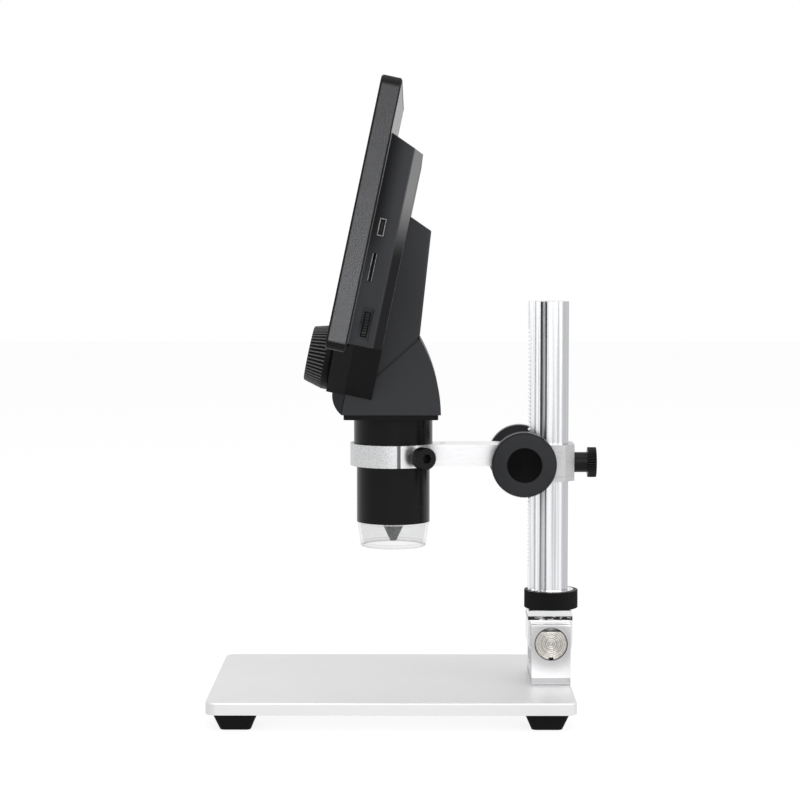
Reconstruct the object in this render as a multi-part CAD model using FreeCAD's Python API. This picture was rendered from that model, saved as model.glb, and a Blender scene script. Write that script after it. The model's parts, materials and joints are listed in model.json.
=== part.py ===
import FreeCAD, Part
import math
import os

from FreeCAD import Placement, Rotation, Vector

# LCD digital microscope on a tilting rack column. All sizes are millimetres.
# +Z is up, the user sits on the -Y side and looks along +Y, and X runs across the screen.
# The origin lies on the table, under the middle of the whole object.

# Base plate and feet
base_width = 115.5
base_depth = 165.4
base_thickness = 5.4
base_corner = 5.0
base_bevel = 0.5
base_front_y = -88.85
foot_height = 7.6
foot_top = 20.0
foot_bottom = 13.7
foot_corner = 2.0
foot_inset_side = 2.0
foot_inset_end = 3.2
foot_screw_radius = 1.5
foot_screw_head_radius = 3.1
foot_screw_head_height = 2.0
foot_screw_recess = 2.2
foot_screw_bite = 3.4

# Hinge bracket, pivot bolt and column foot
bracket_depth = 18.0
bracket_half_width = 17.5
bracket_height = 28.0
bracket_rear_inset = 0.25
bracket_edge = 0.5
bracket_slot_half = 11.0
bracket_floor = 7.6
bracket_band_low = 0.6
bracket_band_high = 3.3
bracket_band_depth = 0.5
bracket_screw_radius = 2.0
bracket_screw_spacing = 24.0
bracket_screw_head_radius = 3.6
bracket_screw_head_height = 2.4
bracket_screw_bite = 5.0
pivot_height = 19.1
pivot_head_radius = 7.25
pivot_head_depth = 6.0
pivot_head_flat = 5.7
pivot_shank_radius = 5.0
pivot_head_recess = 0.3
pivot_thread_share = 0.6
pivot_thread_end_share = 0.35
pivot_notch_half = 1.1
pivot_notch_depth = 1.0
pivot_dimple_radius = 1.2
pivot_dimple_depth = 0.6
pivot_ring_width = 0.5
pivot_ring_depth = 0.25
pivot_ring_radii = (2.6, 4.3)
pivot_bore_clearance = 0.10
pivot_running_clearance = 0.05
tongue_radius = 10.3
tongue_side_clearance = 0.30
tongue_top_height = 14.4
tongue_top_corner = 1.6
ferrule_offset_y = 0.9
ferrule_radius = 10.4
ferrule_hole_radius = 0.7
ferrule_hole_x = 2.0
ferrule_hole_inset = 1.9
ferrule_hole_depth = 2.0

# Knurled collar
collar_radius = 12.5
collar_height = 8.5
collar_gap = 0.2
collar_running_clearance = 0.06
collar_knurls = 90
knurl_depth = 0.35

# Column and rack
column_depth = 18.4
column_half_width = 8.0
column_front_offset = -10.05
column_length = 134.5
column_chamfer = 3.1
column_screw_radius = 2.0
column_screw_bite = 12.0
column_screw_head_radius = 3.0
column_screw_head_height = 2.6
column_screw_seat = 2.6
flute_offset = 6.6
flute_radius = 1.5
groove_offset = 12.8
groove_half = 0.3
groove_depth = 0.4
rib_depth = 3.0
rib_half_width = 4.0
rack_module = 0.6
rack_top_margin = 9.6
rack_bottom_margin = 9.8
pressure_angle = 25.0
gear_backlash = 0.06
gear_gap = 0.02

# Slider, its pinion, focus knobs and lock screw
slider_half_width = 12.0
slider_half_height = 8.45
slider_body_drop = 0.45
slider_rest_height = 60.5
slider_front_reach = 9.0
slider_rear_wall = 2.6
slider_chamfer = 4.5
slider_running_clearance = 0.08
pinion_teeth = 12
pinion_half_width = 3.9
pinion_pocket_clearance = 0.3
pinion_shaft_radius = 2.0
bush_wall = 1.2
bush_running_clearance = 0.03
knob_radius = 15.0
knob_inner_x = 17.0
knob_width = 10.0
knob_knurls = 100
knob_dish_radius = 7.9
knob_dish_depth = 1.2
knob_cone_drop = 1.5
knob_hub_radius = 6.0
knob_hub_gap = 0.3
knob_inner_edge = 1.0
knob_rim_run = 0.5
knob_rim_drop = 0.6
knob_dish_lip = 0.4
lock_axis_drop = 1.0
lock_thread_radius = 2.9
lock_shank_radius = 4.7
lock_shank_length = 6.5
lock_head_radius = 7.0
lock_head_length = 3.9
lock_knurls = 36
lock_seat_gap = 0.1
screw_tip_gap = 0.05
thread_running_clearance = 0.06

# Arm, clamp ring and ring screw
arm_reach = 72.9
arm_half_width = 9.7
arm_bottom_below_slider_top = 9.9
arm_top_below_slider_top = 0.1
arm_screw_radius = 2.0
arm_screw_bite = 9.0
arm_screw_slider_share = 0.3
arm_screw_head_radius = 3.4
arm_screw_head_height = 3.0
ring_outer_radius = 20.0
ring_height = 10.3
ring_running_clearance = 0.05
ring_groove_angle = 7.7
ring_groove_half = 0.8
ring_groove_depth = 0.8
set_screw_radius = 1.4
set_screw_length = 6.0
set_screw_inset = 3.0
set_screw_recess = 1.2
ring_screw_angle = 30.0
ring_screw_thread_radius = 1.95
ring_screw_neck_radius = 3.2
ring_screw_neck_length = 4.9
ring_screw_head_radius = 5.0
ring_screw_head_length = 6.0
ring_screw_socket_flats = 4.0
ring_screw_socket_depth = 3.0

# Barrel and light cap
barrel_radius = 17.0
barrel_length = 36.7
barrel_head_radius = 18.3
barrel_head_length = 12.2
barrel_spigot_radius = 16.4
barrel_spigot_length = 4.0
barrel_bore_radius = 14.56
barrel_lip_radius = 13.4
barrel_lip_height = 1.8
cap_length = 11.6
cap_bottom_radius = 15.2
cap_wall = 1.5
cap_spigot_length = 1.0
cap_ledge_length = 1.5
led_board_thickness = 1.2
led_board_hole = 6.8
led_count = 8
led_circle = 10.3
led_size = 3.0
led_height = 1.4

# Lens carriage
carriage_radius = 14.5
carriage_wall = 2.0
carriage_length = 24.0
carriage_gap_above_lip = 3.0
cone_top_radius = 6.0
cone_mouth_radius = 5.3
cone_tip_radius = 1.5
cone_length = 8.1
cone_tip_above_cap = 2.4
cone_flange_thickness = 2.0
lens_radius = 4.2
lens_thickness = 2.0
lens_fit = 0.03
focus_module = 0.5
focus_teeth = 12
focus_pinion_length = 5.4
focus_rack_thickness = 3.1
focus_rack_width = 4.0
focus_rack_offset = 11.0
focus_rack_above_axis = 6.5
focus_rack_below_axis = 14.5
focus_rack_spare = 3.0
focus_teeth_half_reach = 8.0
carriage_lug_height = 8.0
carriage_lug_wall = 1.0
cone_bore_share = 0.6
lens_recess = 0.2

# Display and housing, measured across the screen's own tilted plane
display_tilt = 12.0
display_offset_y = -28.35
display_offset_z = 35.8
lcd_half_width = 82.5
lcd_bottom = 13.6
lcd_height = 100.0
lcd_thickness = 5.0
slab_side_margin = 10.5
slab_top_margin = 3.9
slab_half_width = lcd_half_width + slab_side_margin
slab_depth = 8.9
slab_height = lcd_bottom + lcd_height + slab_top_margin
slab_corner = 4.0
slab_edge = 0.7
shell_wall = 2.2
front_wall = 1.8
back_plate = 1.8
part_gap = 0.15
fuse_overlap = 0.5
seam_gap = 0.02
glass_side_border = 5.0
glass_top_border = 3.5
glass_half_width = slab_half_width - glass_side_border
glass_bottom = 20.0
glass_top = slab_height - glass_top_border
glass_thickness = 1.2
glass_bed = 0.05
window_side_border = 4.9
window_bottom_border = 3.0
window_top_border = 4.0
window_half_width = lcd_half_width - window_side_border
window_bottom = glass_bottom + window_bottom_border
window_top = glass_top - window_top_border
tier_side_inset = 13.0
tier_half_width = slab_half_width - tier_side_inset
tier_side_depth = 10.4
tier_chamfer = 4.5
tier_bottom = 3.6
tier_top_inset = 22.4
tier_top_slope = 6.2
tier_top_front = slab_height - tier_top_inset
tier_top_rear = tier_top_front - tier_top_slope
neck_half_width = 24.5
neck_top_front = 64.0
neck_top_slope = 5.6
neck_top_rear = neck_top_front - neck_top_slope
neck_rear_top_depth = 34.4
neck_rear_foot_depth = 39.3
neck_rear_foot_height = 9.9
neck_edge = 1.2
neck_root_height = -12.0
neck_root_step = 2.0
chin_front_depth = 2.75
chin_bottom = -22.5
chin_half_width = 46.0
seam_depth = 11.5
hood_bottom_half_front = 23.3
hood_bottom_half_rear = 21.9
hood_top_y = 12.2
hood_top_z = 34.9
hood_top_wall_share = 0.6
hood_rear_bulge = (18.5, 20.9)
hood_front_top = (27.5, 10.5)
hood_front_bulge = (26.7, 4.6)
hood_crest = (7.4, 23.0)
cavity_rise = 6.0
flange_thickness = 2.3
flange_half_width = 23.7
flange_front = 22.5
flange_rear = 20.7
flange_corner = 2.0
groove_width = 1.3
groove_cut = 0.8
groove_low_end = (-17.9, 8.8)
groove_high_end = (13.0, 36.1)

# Focus wheel on the chin
wheel_axis_height = -8.33
wheel_gap = 0.5
wheel_skirt_radius = 15.0
wheel_skirt_length = 3.5
wheel_front_radius = 12.65
wheel_rib_length = 8.0
wheel_ribs = 50
wheel_rib_depth = 0.6
wheel_notch_radius = 16.3
wheel_shaft_radius = 1.5
wheel_boss_radius = 4.0
wheel_boss_length = 7.6
wheel_rim_step = 0.2
wheel_shaft_depth = 3.0

# Electronics inside the head
board_depth = 10.0
board_thickness = 1.6
board_side_gap = 2.6
board_half_width = tier_half_width - board_side_gap
board_bottom = 8.6
board_top_gap = 3.9
board_top = tier_top_rear - board_top_gap
board_chips = ((-8.0, 6.0, 1.2, 40.0, 54.0), (14.0, 24.0, 1.0, 42.0, 52.0), (-30.0, -22.0, 1.6, 30.0, 38.0))
board_notch_height = 4.0
post_radius = 2.8
post_left_inset = 8.0
post_right_inset = 23.0
post_low = 14.0
post_top_inset = 3.0
small_screw_radius = 0.8
small_screw_head_radius = 1.8
small_screw_head_height = 1.0
small_screw_bite = 5.0
battery_width = 42.0
battery_height = 54.0
battery_thickness = 6.0
battery_side_inset = 12.0
battery_corner = 1.5
battery_bottom = 20.5
usb_height = 55.0
usb_length = 7.5
usb_thickness = 2.8
usb_deep = 5.6
usb_sheet = 0.35
usb_inset = 0.4
usb_tongue_inset = 0.9
usb_tongue_reach = 0.8
usb_tongue_low = 0.42
usb_tongue_high = 0.62
usb_tongue_half = 0.33
socket_mouth_share = 0.7
card_height = 37.5
card_length = 14.0
card_slot_length = 11.8
card_thickness = 2.0
card_deep = 14.5
card_sheet = 0.3
dimmer_height = 13.0
dimmer_depth = 14.8
dimmer_radius = 8.0
dimmer_proud = 0.6
dimmer_thickness = 2.1
dimmer_teeth = 36
dimmer_recess_length = 17.5
dimmer_recess_width = 5.0
dimmer_recess_depth = 2.4
dimmer_recess_share = 0.8
dimmer_round_gap = 0.4
dimmer_side_gap = 0.3
dimmer_tooth_depth = 0.5
dimmer_axle_radius = 1.2
pot_half_width = 4.2
pot_half_height = 4.3
pot_cap_rim = 0.8
pot_cap_end = 0.6
button_radius = 3.2
button_flange_radius = 3.9
button_flange_thickness = 0.7
button_proud = 0.9
button_travel = 0.6
button_height = 8.2
button_clearance = 0.1
button_first_x = 30.0
button_pitch = 16.0
button_crown = 0.4
button_seat_gap = 0.05
button_free_play = 0.1
dome_half = 2.6
dome_height = 0.7
button_board_thickness = 1.2
button_board_inner_x = 20.0
button_board_side_gap = 9.0
button_board_top_gap = 0.3
sensor_board_radius = 16.0
sensor_board_thickness = 1.6
sensor_size = 7.0
sensor_thickness = 1.2
sensor_rack_gap = 0.8
sensor_rack_room = 2.5
cover_screw_inset = 6.0
cover_screw_low = 9.0
cover_screw_top_inset = 9.5
cover_screw_tip_wall = 0.6
neck_screw_x = 20.0
neck_screw_front = 16.5
neck_screw_rear = 17.8
neck_boss_height = 8.0

# Places worked out from the sizes above
base_top = foot_height + base_thickness
base_rear_y = base_front_y + base_depth
bracket_rear_y = base_rear_y - bracket_rear_inset
bracket_front_y = bracket_rear_y - bracket_depth
pivot_y = bracket_rear_y - bracket_depth / 2
pivot_z = base_top + pivot_height
tongue_half = bracket_slot_half - tongue_side_clearance
tongue_top = pivot_z + tongue_top_height
ferrule_y = pivot_y + ferrule_offset_y
collar_top = tongue_top + collar_height
column_bottom = collar_top + collar_gap
column_top = column_bottom + column_length
column_front = pivot_y + column_front_offset
column_rear = column_front + column_depth
column_body_front = column_front + rib_depth
rack_line = column_front + rack_module
pinion_pitch_radius = rack_module * pinion_teeth / 2
pinion_y = rack_line - pinion_pitch_radius - gear_gap
slider_z = column_bottom + slider_rest_height
slider_bottom = slider_z - slider_body_drop - slider_half_height
slider_top = slider_z - slider_body_drop + slider_half_height
slider_front = pinion_y - slider_front_reach
slider_rear = column_rear + slider_running_clearance + slider_rear_wall
lock_z = slider_z - lock_axis_drop
barrel_y = pivot_y - arm_reach
arm_bottom = slider_top - arm_bottom_below_slider_top
arm_top = slider_top - arm_top_below_slider_top
arm_z = (arm_bottom + arm_top) / 2
ring_inner_radius = barrel_radius + ring_running_clearance
ring_top = arm_z + ring_height / 2
ring_bottom = ring_top - ring_height
shoulder_z = ring_top + part_gap / 3
barrel_bottom = shoulder_z - barrel_length
barrel_top = shoulder_z + barrel_head_length
flange_top = barrel_top + flange_thickness
cap_bottom = barrel_bottom - cap_length
lip_bottom = barrel_bottom + cap_spigot_length + led_board_thickness
lip_top = lip_bottom + barrel_lip_height
carriage_bottom = lip_top + carriage_gap_above_lip
carriage_top = carriage_bottom + carriage_length
cone_tip = cap_bottom + cone_tip_above_cap
display_y = barrel_y + display_offset_y
display_z = barrel_top + display_offset_z
tier_rear = slab_depth + tier_side_depth + tier_chamfer
tier_inner_rear = tier_rear - shell_wall
board_rear = board_depth + board_thickness
oversize = 2 * slab_half_width
post_xs = (post_left_inset - tier_half_width, tier_half_width - post_right_inset)
post_places = [(x, z) for x in post_xs for z in (post_low, board_top - post_top_inset)]
battery_left = battery_side_inset - tier_half_width
cover_screw_x = slab_half_width - cover_screw_inset
cover_screw_heights = (cover_screw_low, slab_height - cover_screw_top_inset)
button_offsets = [button_first_x + k * button_pitch for k in range(3)]
button_places = list(zip(("down", "up", "menu"), [-x for x in button_offsets]))
button_places += zip(("ok", "photo", "power"), button_offsets)
button_board_outer_x = slab_half_width - button_board_side_gap
dimmer_x = tier_half_width + dimmer_proud - dimmer_radius
set_screw_y = barrel_y + ring_outer_radius + set_screw_inset
neck_screw_rows = (barrel_y - neck_screw_front, barrel_y + neck_screw_rear)
focus_pitch_radius = focus_module * focus_teeth / 2
display_frame = Placement(Vector(0, display_y, display_z), Rotation(Vector(1, 0, 0), -display_tilt))


def block(x0, x1, y0, y1, z0, z1):
    return Part.makeBox(x1 - x0, y1 - y0, z1 - z0, Vector(x0, y0, z0))


def rod(radius, start, end):
    run = end - start
    return Part.makeCylinder(radius, run.Length, start, run)


def rod_x(radius, x0, x1, y, z):
    return rod(radius, Vector(x0, y, z), Vector(x1, y, z))


def rod_y(radius, y0, y1, x, z):
    return rod(radius, Vector(x, y0, z), Vector(x, y1, z))


def rod_z(radius, z0, z1, x, y):
    return rod(radius, Vector(x, y, z0), Vector(x, y, z1))


def cone_z(bottom_radius, top_radius, z0, z1, x, y):
    return Part.makeCone(bottom_radius, top_radius, z1 - z0, Vector(x, y, z0))


def face_of(points):
    return Part.Face(Part.makePolygon(points + points[:1]))


def prism_x(outline, x0, x1):
    """Extrude a closed outline of (y, z) points along X."""
    return face_of([Vector(x0, y, z) for y, z in outline]).extrude(Vector(x1 - x0, 0, 0))


def prism_y(outline, y0, y1):
    """Extrude a closed outline of (x, z) points along Y."""
    return face_of([Vector(x, y0, z) for x, z in outline]).extrude(Vector(0, y1 - y0, 0))


def prism_z(outline, z0, z1):
    """Extrude a closed outline of (x, y) points along Z."""
    return face_of([Vector(x, y, z0) for x, y in outline]).extrude(Vector(0, 0, z1 - z0))


def knurled(radius, depth, count):
    """Outline of a toothed rim about (0, 0): pointed ridges with narrow crests."""
    points = []
    for i in range(count):
        for share, r in ((-0.16, radius), (0.16, radius), (0.5, radius - depth)):
            angle = 2 * math.pi * (i + share) / count
            points.append((r * math.cos(angle), r * math.sin(angle)))
    return points


def gear_outline(module, teeth):
    """Involute gear about (0, 0), with one tooth centred on the first axis."""
    pressure = math.radians(pressure_angle)
    pitch_radius = module * teeth / 2
    base_radius = pitch_radius * math.cos(pressure)
    tip_radius = pitch_radius + module
    root_radius = pitch_radius - 1.25 * module
    half_pitch = math.pi / (2 * teeth) - gear_backlash / (2 * pitch_radius)

    def half_angle(r):
        local = math.acos(min(1.0, base_radius / max(r, base_radius)))
        return half_pitch + math.tan(pressure) - pressure - math.tan(local) + local

    radii = [root_radius] + [base_radius + (tip_radius - base_radius) * k / 4 for k in range(5)]
    points = []
    for i in range(teeth):
        middle = 2 * math.pi * i / teeth
        flank = [(r, half_angle(r)) for r in radii]
        for r, a in flank:
            points.append((r * math.cos(middle - a), r * math.sin(middle - a)))
        for r, a in reversed(flank):
            points.append((r * math.cos(middle + a), r * math.sin(middle + a)))
    return points


def rack_outline(module, first, last, root_back):
    """Rack along the second axis with its tips towards minus. The pitch line is at 0.

    A tooth space is centred on 0 of the second axis, and whole teeth fill first to last.
    """
    slope = math.tan(math.radians(pressure_angle))
    pitch = math.pi * module
    half_tooth = pitch / 4 - gear_backlash / 2
    tip_half = half_tooth - module * slope
    root_half = half_tooth + 1.25 * module * slope
    root = 1.25 * module
    points = [(root_back, last), (root_back, first), (-module, first)]
    start = math.ceil(first / pitch + 0.5)
    stop = math.floor(last / pitch - 0.5)
    points.append((-module, (start - 0.5) * pitch + tip_half))
    for k in range(start, stop):
        low = (k - 0.5) * pitch
        high = low + pitch
        points.append((root, low + root_half))
        points.append((root, high - root_half))
        points.append((-module, high - tip_half))
        if k < stop - 1:
            points.append((-module, high + tip_half))
    points.append((-module, last))
    return points


def on_display(shape):
    """Carry a shape from the screen's own frame to its place.

    In that frame X is across, Y runs from the front face to the rear, Z runs up the screen.
    """
    placed = shape.copy()
    placed.Placement = display_frame.multiply(placed.Placement)
    return placed


def save(name, shape):
    solids = shape.Solids
    for solid in solids:
        if not solid.isValid() or solid.Volume <= 0:
            raise ValueError(name + " has a bad solid")
    shape = solids[0] if len(solids) == 1 else Part.makeCompound(solids)
    shape.exportStep("parts/" + name + ".step")
    built.append((name, shape))


def edges_along(shape, axis):
    """Straight edges parallel to an axis."""
    found = []
    for edge in shape.Edges:
        if isinstance(edge.Curve, Part.Line) and abs(abs(edge.Curve.Direction.dot(axis)) - 1) < 1e-6:
            found.append(edge)
    return found


def screw_y(radius, head_radius, head_height, seat_y, bite, x, z):
    """Pan-head screw driven towards -Y, with its head standing behind the seat."""
    head = rod_y(head_radius, seat_y, seat_y + head_height, x, z)
    slot = block(x - head_radius, x + head_radius, seat_y + head_height * 0.6, seat_y + head_height * 2,
                 z - head_radius * 0.14, z + head_radius * 0.14)
    return head.cut(slot).fuse(rod_y(radius, seat_y - bite, seat_y, x, z)).removeSplitter()


def hexagon_at(corner, u, v):
    """Corners of a regular hexagon round the point (u, v)."""
    angles = [a * math.pi / 3 for a in range(6)]
    return [(u + corner * math.cos(a), v + corner * math.sin(a)) for a in angles]


def screw_z(radius, head_radius, head_height, seat_z, bite, x, y):
    """Cap-head screw driven upwards, with its head hanging under the seat and a hex socket."""
    head = rod_z(head_radius, seat_z - head_height, seat_z, x, y)
    socket = prism_z(hexagon_at(head_radius * 0.5, x, y), seat_z - head_height, seat_z - head_height * 0.5)
    return head.cut(socket).fuse(rod_z(radius, seat_z, seat_z + bite, x, y)).removeSplitter()


# Stand
foot_x = base_width / 2 - foot_inset_side - foot_top / 2
foot_places = {
    "front_left": (-foot_x, base_front_y + foot_inset_end + foot_top / 2),
    "front_right": (foot_x, base_front_y + foot_inset_end + foot_top / 2),
    "rear_left": (-foot_x, base_rear_y - foot_inset_end - foot_top / 2),
    "rear_right": (foot_x, base_rear_y - foot_inset_end - foot_top / 2),
}
bracket_screw_places = [(side * bracket_screw_spacing / 2, pivot_y) for side in (-1, 1)]


def make_base_plate():
    plate = block(-base_width / 2, base_width / 2, base_front_y, base_rear_y, foot_height, base_top)
    plate = plate.makeFillet(base_corner, edges_along(plate, Vector(0, 0, 1)))
    top_edges = [e for e in plate.Edges if abs(e.BoundBox.ZMin - base_top) < 1e-6]
    plate = plate.makeChamfer(base_bevel, top_edges)
    for x, y in foot_places.values():
        plate = plate.cut(rod_z(foot_screw_radius, foot_height, foot_height + foot_screw_bite, x, y))
    for x, y in bracket_screw_places:
        plate = plate.cut(rod_z(bracket_screw_radius, foot_height, base_top, x, y))
        recess_top = foot_height + bracket_screw_head_height
        plate = plate.cut(rod_z(bracket_screw_head_radius + part_gap, foot_height, recess_top, x, y))
    save("base_plate", plate)


def make_feet():
    for name, (x, y) in foot_places.items():
        sections = []
        for size, z in ((foot_bottom, 0), (foot_top, foot_height)):
            square = block(x - size / 2, x + size / 2, y - size / 2, y + size / 2, z, z + 1)
            square = square.makeFillet(foot_corner, edges_along(square, Vector(0, 0, 1)))
            floor = min(square.Faces, key=lambda f: f.CenterOfMass.z)
            sections.append(floor.OuterWire)
        foot = Part.makeLoft(sections, True, True)
        recess_top = foot_screw_recess + foot_screw_head_height
        foot = foot.cut(rod_z(foot_screw_head_radius + part_gap, 0, recess_top, x, y))
        foot = foot.cut(rod_z(foot_screw_radius, 0, foot_height, x, y))
        save("foot_" + name, foot)


def make_foot_screws():
    seat = foot_screw_recess + foot_screw_head_height
    bite = foot_height + foot_screw_bite - seat
    screws = [screw_z(foot_screw_radius, foot_screw_head_radius, foot_screw_head_height, seat, bite, x, y)
              for x, y in foot_places.values()]
    save("foot_screws", Part.makeCompound(screws))


def make_hinge_bracket():
    top = base_top + bracket_height
    body = block(-bracket_half_width, bracket_half_width, bracket_front_y, bracket_rear_y, base_top, top)
    body = body.makeChamfer(bracket_edge, edges_along(body, Vector(0, 1, 0)))
    body = body.cut(block(-bracket_slot_half, bracket_slot_half, bracket_front_y, bracket_rear_y,
                          base_top + bracket_floor, top))
    for side in (-1, 1):
        outer = side * bracket_half_width
        floor = outer - side * bracket_band_depth
        body = body.cut(block(min(outer, floor), max(outer, floor), bracket_front_y, bracket_rear_y,
                              base_top + bracket_band_low, base_top + bracket_band_high))
        head_floor = outer - side * pivot_head_depth
        body = body.cut(rod_x(pivot_head_radius + pivot_bore_clearance, head_floor, outer, pivot_y, pivot_z))
        body = body.cut(rod_x(pivot_shank_radius, side * bracket_slot_half, head_floor, pivot_y, pivot_z))
    for x, y in bracket_screw_places:
        body = body.cut(rod_z(bracket_screw_radius, base_top, base_top + bracket_screw_bite, x, y))
    save("hinge_bracket", body)


def make_bracket_screws():
    seat = foot_height + bracket_screw_head_height
    bite = base_top + bracket_screw_bite - seat
    screws = [screw_z(bracket_screw_radius, bracket_screw_head_radius, bracket_screw_head_height, seat, bite,
                      x, y) for x, y in bracket_screw_places]
    save("bracket_screws", Part.makeCompound(screws))


def pivot_disc(side):
    """One turned end of the pivot, with a flat above, a notch below and rings on its face."""
    outer = side * (bracket_half_width - pivot_head_recess)
    inner = side * (bracket_half_width - pivot_head_depth)
    disc = rod_x(pivot_head_radius, inner, outer, pivot_y, pivot_z)
    reach = 2 * pivot_head_radius
    disc = disc.cut(block(-bracket_half_width, bracket_half_width, pivot_y - reach, pivot_y + reach,
                          pivot_z + pivot_head_flat, pivot_z + reach))
    notch_top = pivot_z - pivot_head_radius + pivot_notch_depth
    disc = disc.cut(block(-bracket_half_width, bracket_half_width, pivot_y - pivot_notch_half,
                          pivot_y + pivot_notch_half, pivot_z - reach, notch_top))
    for radius in pivot_ring_radii:
        ring = rod_x(radius + pivot_ring_width, outer - side * pivot_ring_depth, outer, pivot_y, pivot_z)
        ring = ring.cut(rod_x(radius, outer - side * pivot_ring_depth, outer, pivot_y, pivot_z))
        disc = disc.cut(ring)
    return disc.cut(rod_x(pivot_dimple_radius, outer - side * pivot_dimple_depth, outer, pivot_y, pivot_z))


def make_pivot():
    shank_end = -(bracket_half_width - pivot_head_depth * pivot_thread_end_share)
    tip_radius = pivot_shank_radius * pivot_thread_share
    head_seat = bracket_half_width - pivot_head_depth
    shank = rod_x(pivot_shank_radius, -head_seat, head_seat, pivot_y, pivot_z)
    thread = rod_x(tip_radius, shank_end, -head_seat, pivot_y, pivot_z)
    save("pivot_bolt", pivot_disc(1).fuse([shank, thread]).removeSplitter())
    save("pivot_nut", pivot_disc(-1).cut(rod_x(tip_radius, shank_end, -head_seat, pivot_y, pivot_z)))


# Column
def make_column_foot():
    y0 = pivot_y - tongue_radius
    y1 = pivot_y + tongue_radius
    upper = block(-tongue_half, tongue_half, y0, y1, pivot_z, tongue_top)
    top_edges = [e for e in edges_along(upper, Vector(1, 0, 0)) if e.CenterOfMass.z > tongue_top - 0.01]
    upper = upper.makeFillet(tongue_top_corner, top_edges)
    lower = rod_x(tongue_radius, -tongue_half, tongue_half, pivot_y, pivot_z)
    ferrule = rod_z(ferrule_radius, tongue_top - 1, column_bottom, 0, ferrule_y)
    foot = upper.fuse([lower, ferrule]).removeSplitter()
    bore = pivot_shank_radius + pivot_running_clearance
    foot = foot.cut(rod_x(bore, -tongue_half, tongue_half, pivot_y, pivot_z))
    seat = tongue_top - column_screw_seat
    foot = foot.cut(rod_z(column_screw_head_radius + part_gap, pivot_z - tongue_radius, seat, 0, pivot_y))
    foot = foot.cut(rod_z(column_screw_radius, seat, column_bottom, 0, pivot_y))
    hole_y = ferrule_y + ferrule_radius - ferrule_hole_inset
    foot = foot.cut(rod_z(ferrule_hole_radius, column_bottom - ferrule_hole_depth, column_bottom,
                          ferrule_hole_x, hole_y))
    save("column_foot", foot)


def make_column_screw():
    seat = tongue_top - column_screw_seat
    bite = column_bottom + column_screw_bite - seat
    save("column_screw", screw_z(column_screw_radius, column_screw_head_radius, column_screw_head_height,
                                 seat, bite, 0, pivot_y))


def make_collar():
    rim = prism_z(knurled(collar_radius, knurl_depth, collar_knurls), tongue_top + collar_gap, collar_top)
    rim.translate(Vector(0, ferrule_y, 0))
    bore = rod_z(ferrule_radius + collar_running_clearance, tongue_top, column_bottom, 0, ferrule_y)
    save("locking_collar", rim.cut(bore))


def column_section(extra):
    """Half hull of the column's section as (x, y) points, grown by a clearance."""
    w = column_half_width + extra
    rear = column_rear + extra
    front = column_body_front - extra
    return [(-w, front), (w, front), (w, rear - column_chamfer), (w - column_chamfer, rear),
            (-w + column_chamfer, rear), (-w, rear - column_chamfer)]


def make_column():
    body = prism_z(column_section(0), column_bottom, column_top)
    for side in (-1, 1):
        x = side * column_half_width
        body = body.cut(rod_z(flute_radius, column_bottom, column_top, x, column_front + flute_offset))
        groove_x = sorted((x, x - side * groove_depth))
        body = body.cut(block(groove_x[0], groove_x[1], column_front + groove_offset - groove_half,
                              column_front + groove_offset + groove_half, column_bottom, column_top))
    rack_low = column_bottom + rack_bottom_margin
    rack_high = column_top - rack_top_margin
    root_back = rib_depth - rack_module + fuse_overlap
    outline = rack_outline(rack_module, rack_low - slider_z, rack_high - slider_z, root_back)
    rack = prism_x([(rack_line + y, slider_z + z) for y, z in outline], -rib_half_width, rib_half_width)
    rib_back = column_body_front + fuse_overlap
    ends = [block(-rib_half_width, rib_half_width, column_front, rib_back, column_bottom, rack_low),
            block(-rib_half_width, rib_half_width, column_front, rib_back, rack_high, column_top)]
    body = body.fuse([rack] + ends).removeSplitter()
    top = column_bottom + column_screw_bite
    save("column", body.cut(rod_z(column_screw_radius, column_bottom, top, 0, pivot_y)))


# Slider
def make_slider_block():
    body = block(-slider_half_width, slider_half_width, slider_front, slider_rear, slider_bottom, slider_top)
    uprights = edges_along(body, Vector(0, 0, 1))
    rear = [e for e in uprights if e.CenterOfMass.y > slider_rear - 0.01]
    body = body.makeChamfer(slider_chamfer, rear)
    body = body.cut(prism_z(column_section(slider_running_clearance), slider_bottom, slider_top))
    rib = rib_half_width + slider_running_clearance
    body = body.cut(block(-rib, rib, column_front - slider_running_clearance, column_body_front + 1,
                          slider_bottom, slider_top))
    pocket = rack_module * (pinion_teeth / 2 + 1) + pinion_pocket_clearance
    body = body.cut(rod_x(pocket, -rib, rib, pinion_y, slider_z))
    bush = pinion_shaft_radius + bush_running_clearance + bush_wall
    body = body.cut(rod_x(bush, -slider_half_width, slider_half_width, pinion_y, slider_z))
    thread = lock_thread_radius + thread_running_clearance
    body = body.cut(rod_y(thread, column_rear, slider_rear, 0, lock_z))
    arm_hole_end = slider_front + arm_screw_bite * arm_screw_slider_share
    body = body.cut(rod_y(arm_screw_radius, slider_front, arm_hole_end, 0, arm_z))
    save("slider_block", body)


def make_shaft_bushes():
    bushes = []
    inner = pinion_shaft_radius + bush_running_clearance
    start = rib_half_width + slider_running_clearance
    for side in (-1, 1):
        bush = rod_x(inner + bush_wall, side * start, side * slider_half_width, pinion_y, slider_z)
        bushes.append(bush.cut(rod_x(inner, side * start, side * slider_half_width, pinion_y, slider_z)))
    save("shaft_bushes", Part.makeCompound(bushes))


def make_pinion_shaft():
    end = knob_inner_x + knob_width / 2
    save("pinion_shaft", rod_x(pinion_shaft_radius, -end, end, pinion_y, slider_z))


def make_rack_pinion():
    gear = prism_x(gear_outline(rack_module, pinion_teeth), -pinion_half_width, pinion_half_width)
    gear.translate(Vector(0, pinion_y, slider_z))
    bore = rod_x(pinion_shaft_radius, -pinion_half_width, pinion_half_width, pinion_y, slider_z)
    save("rack_pinion", gear.cut(bore))


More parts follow.
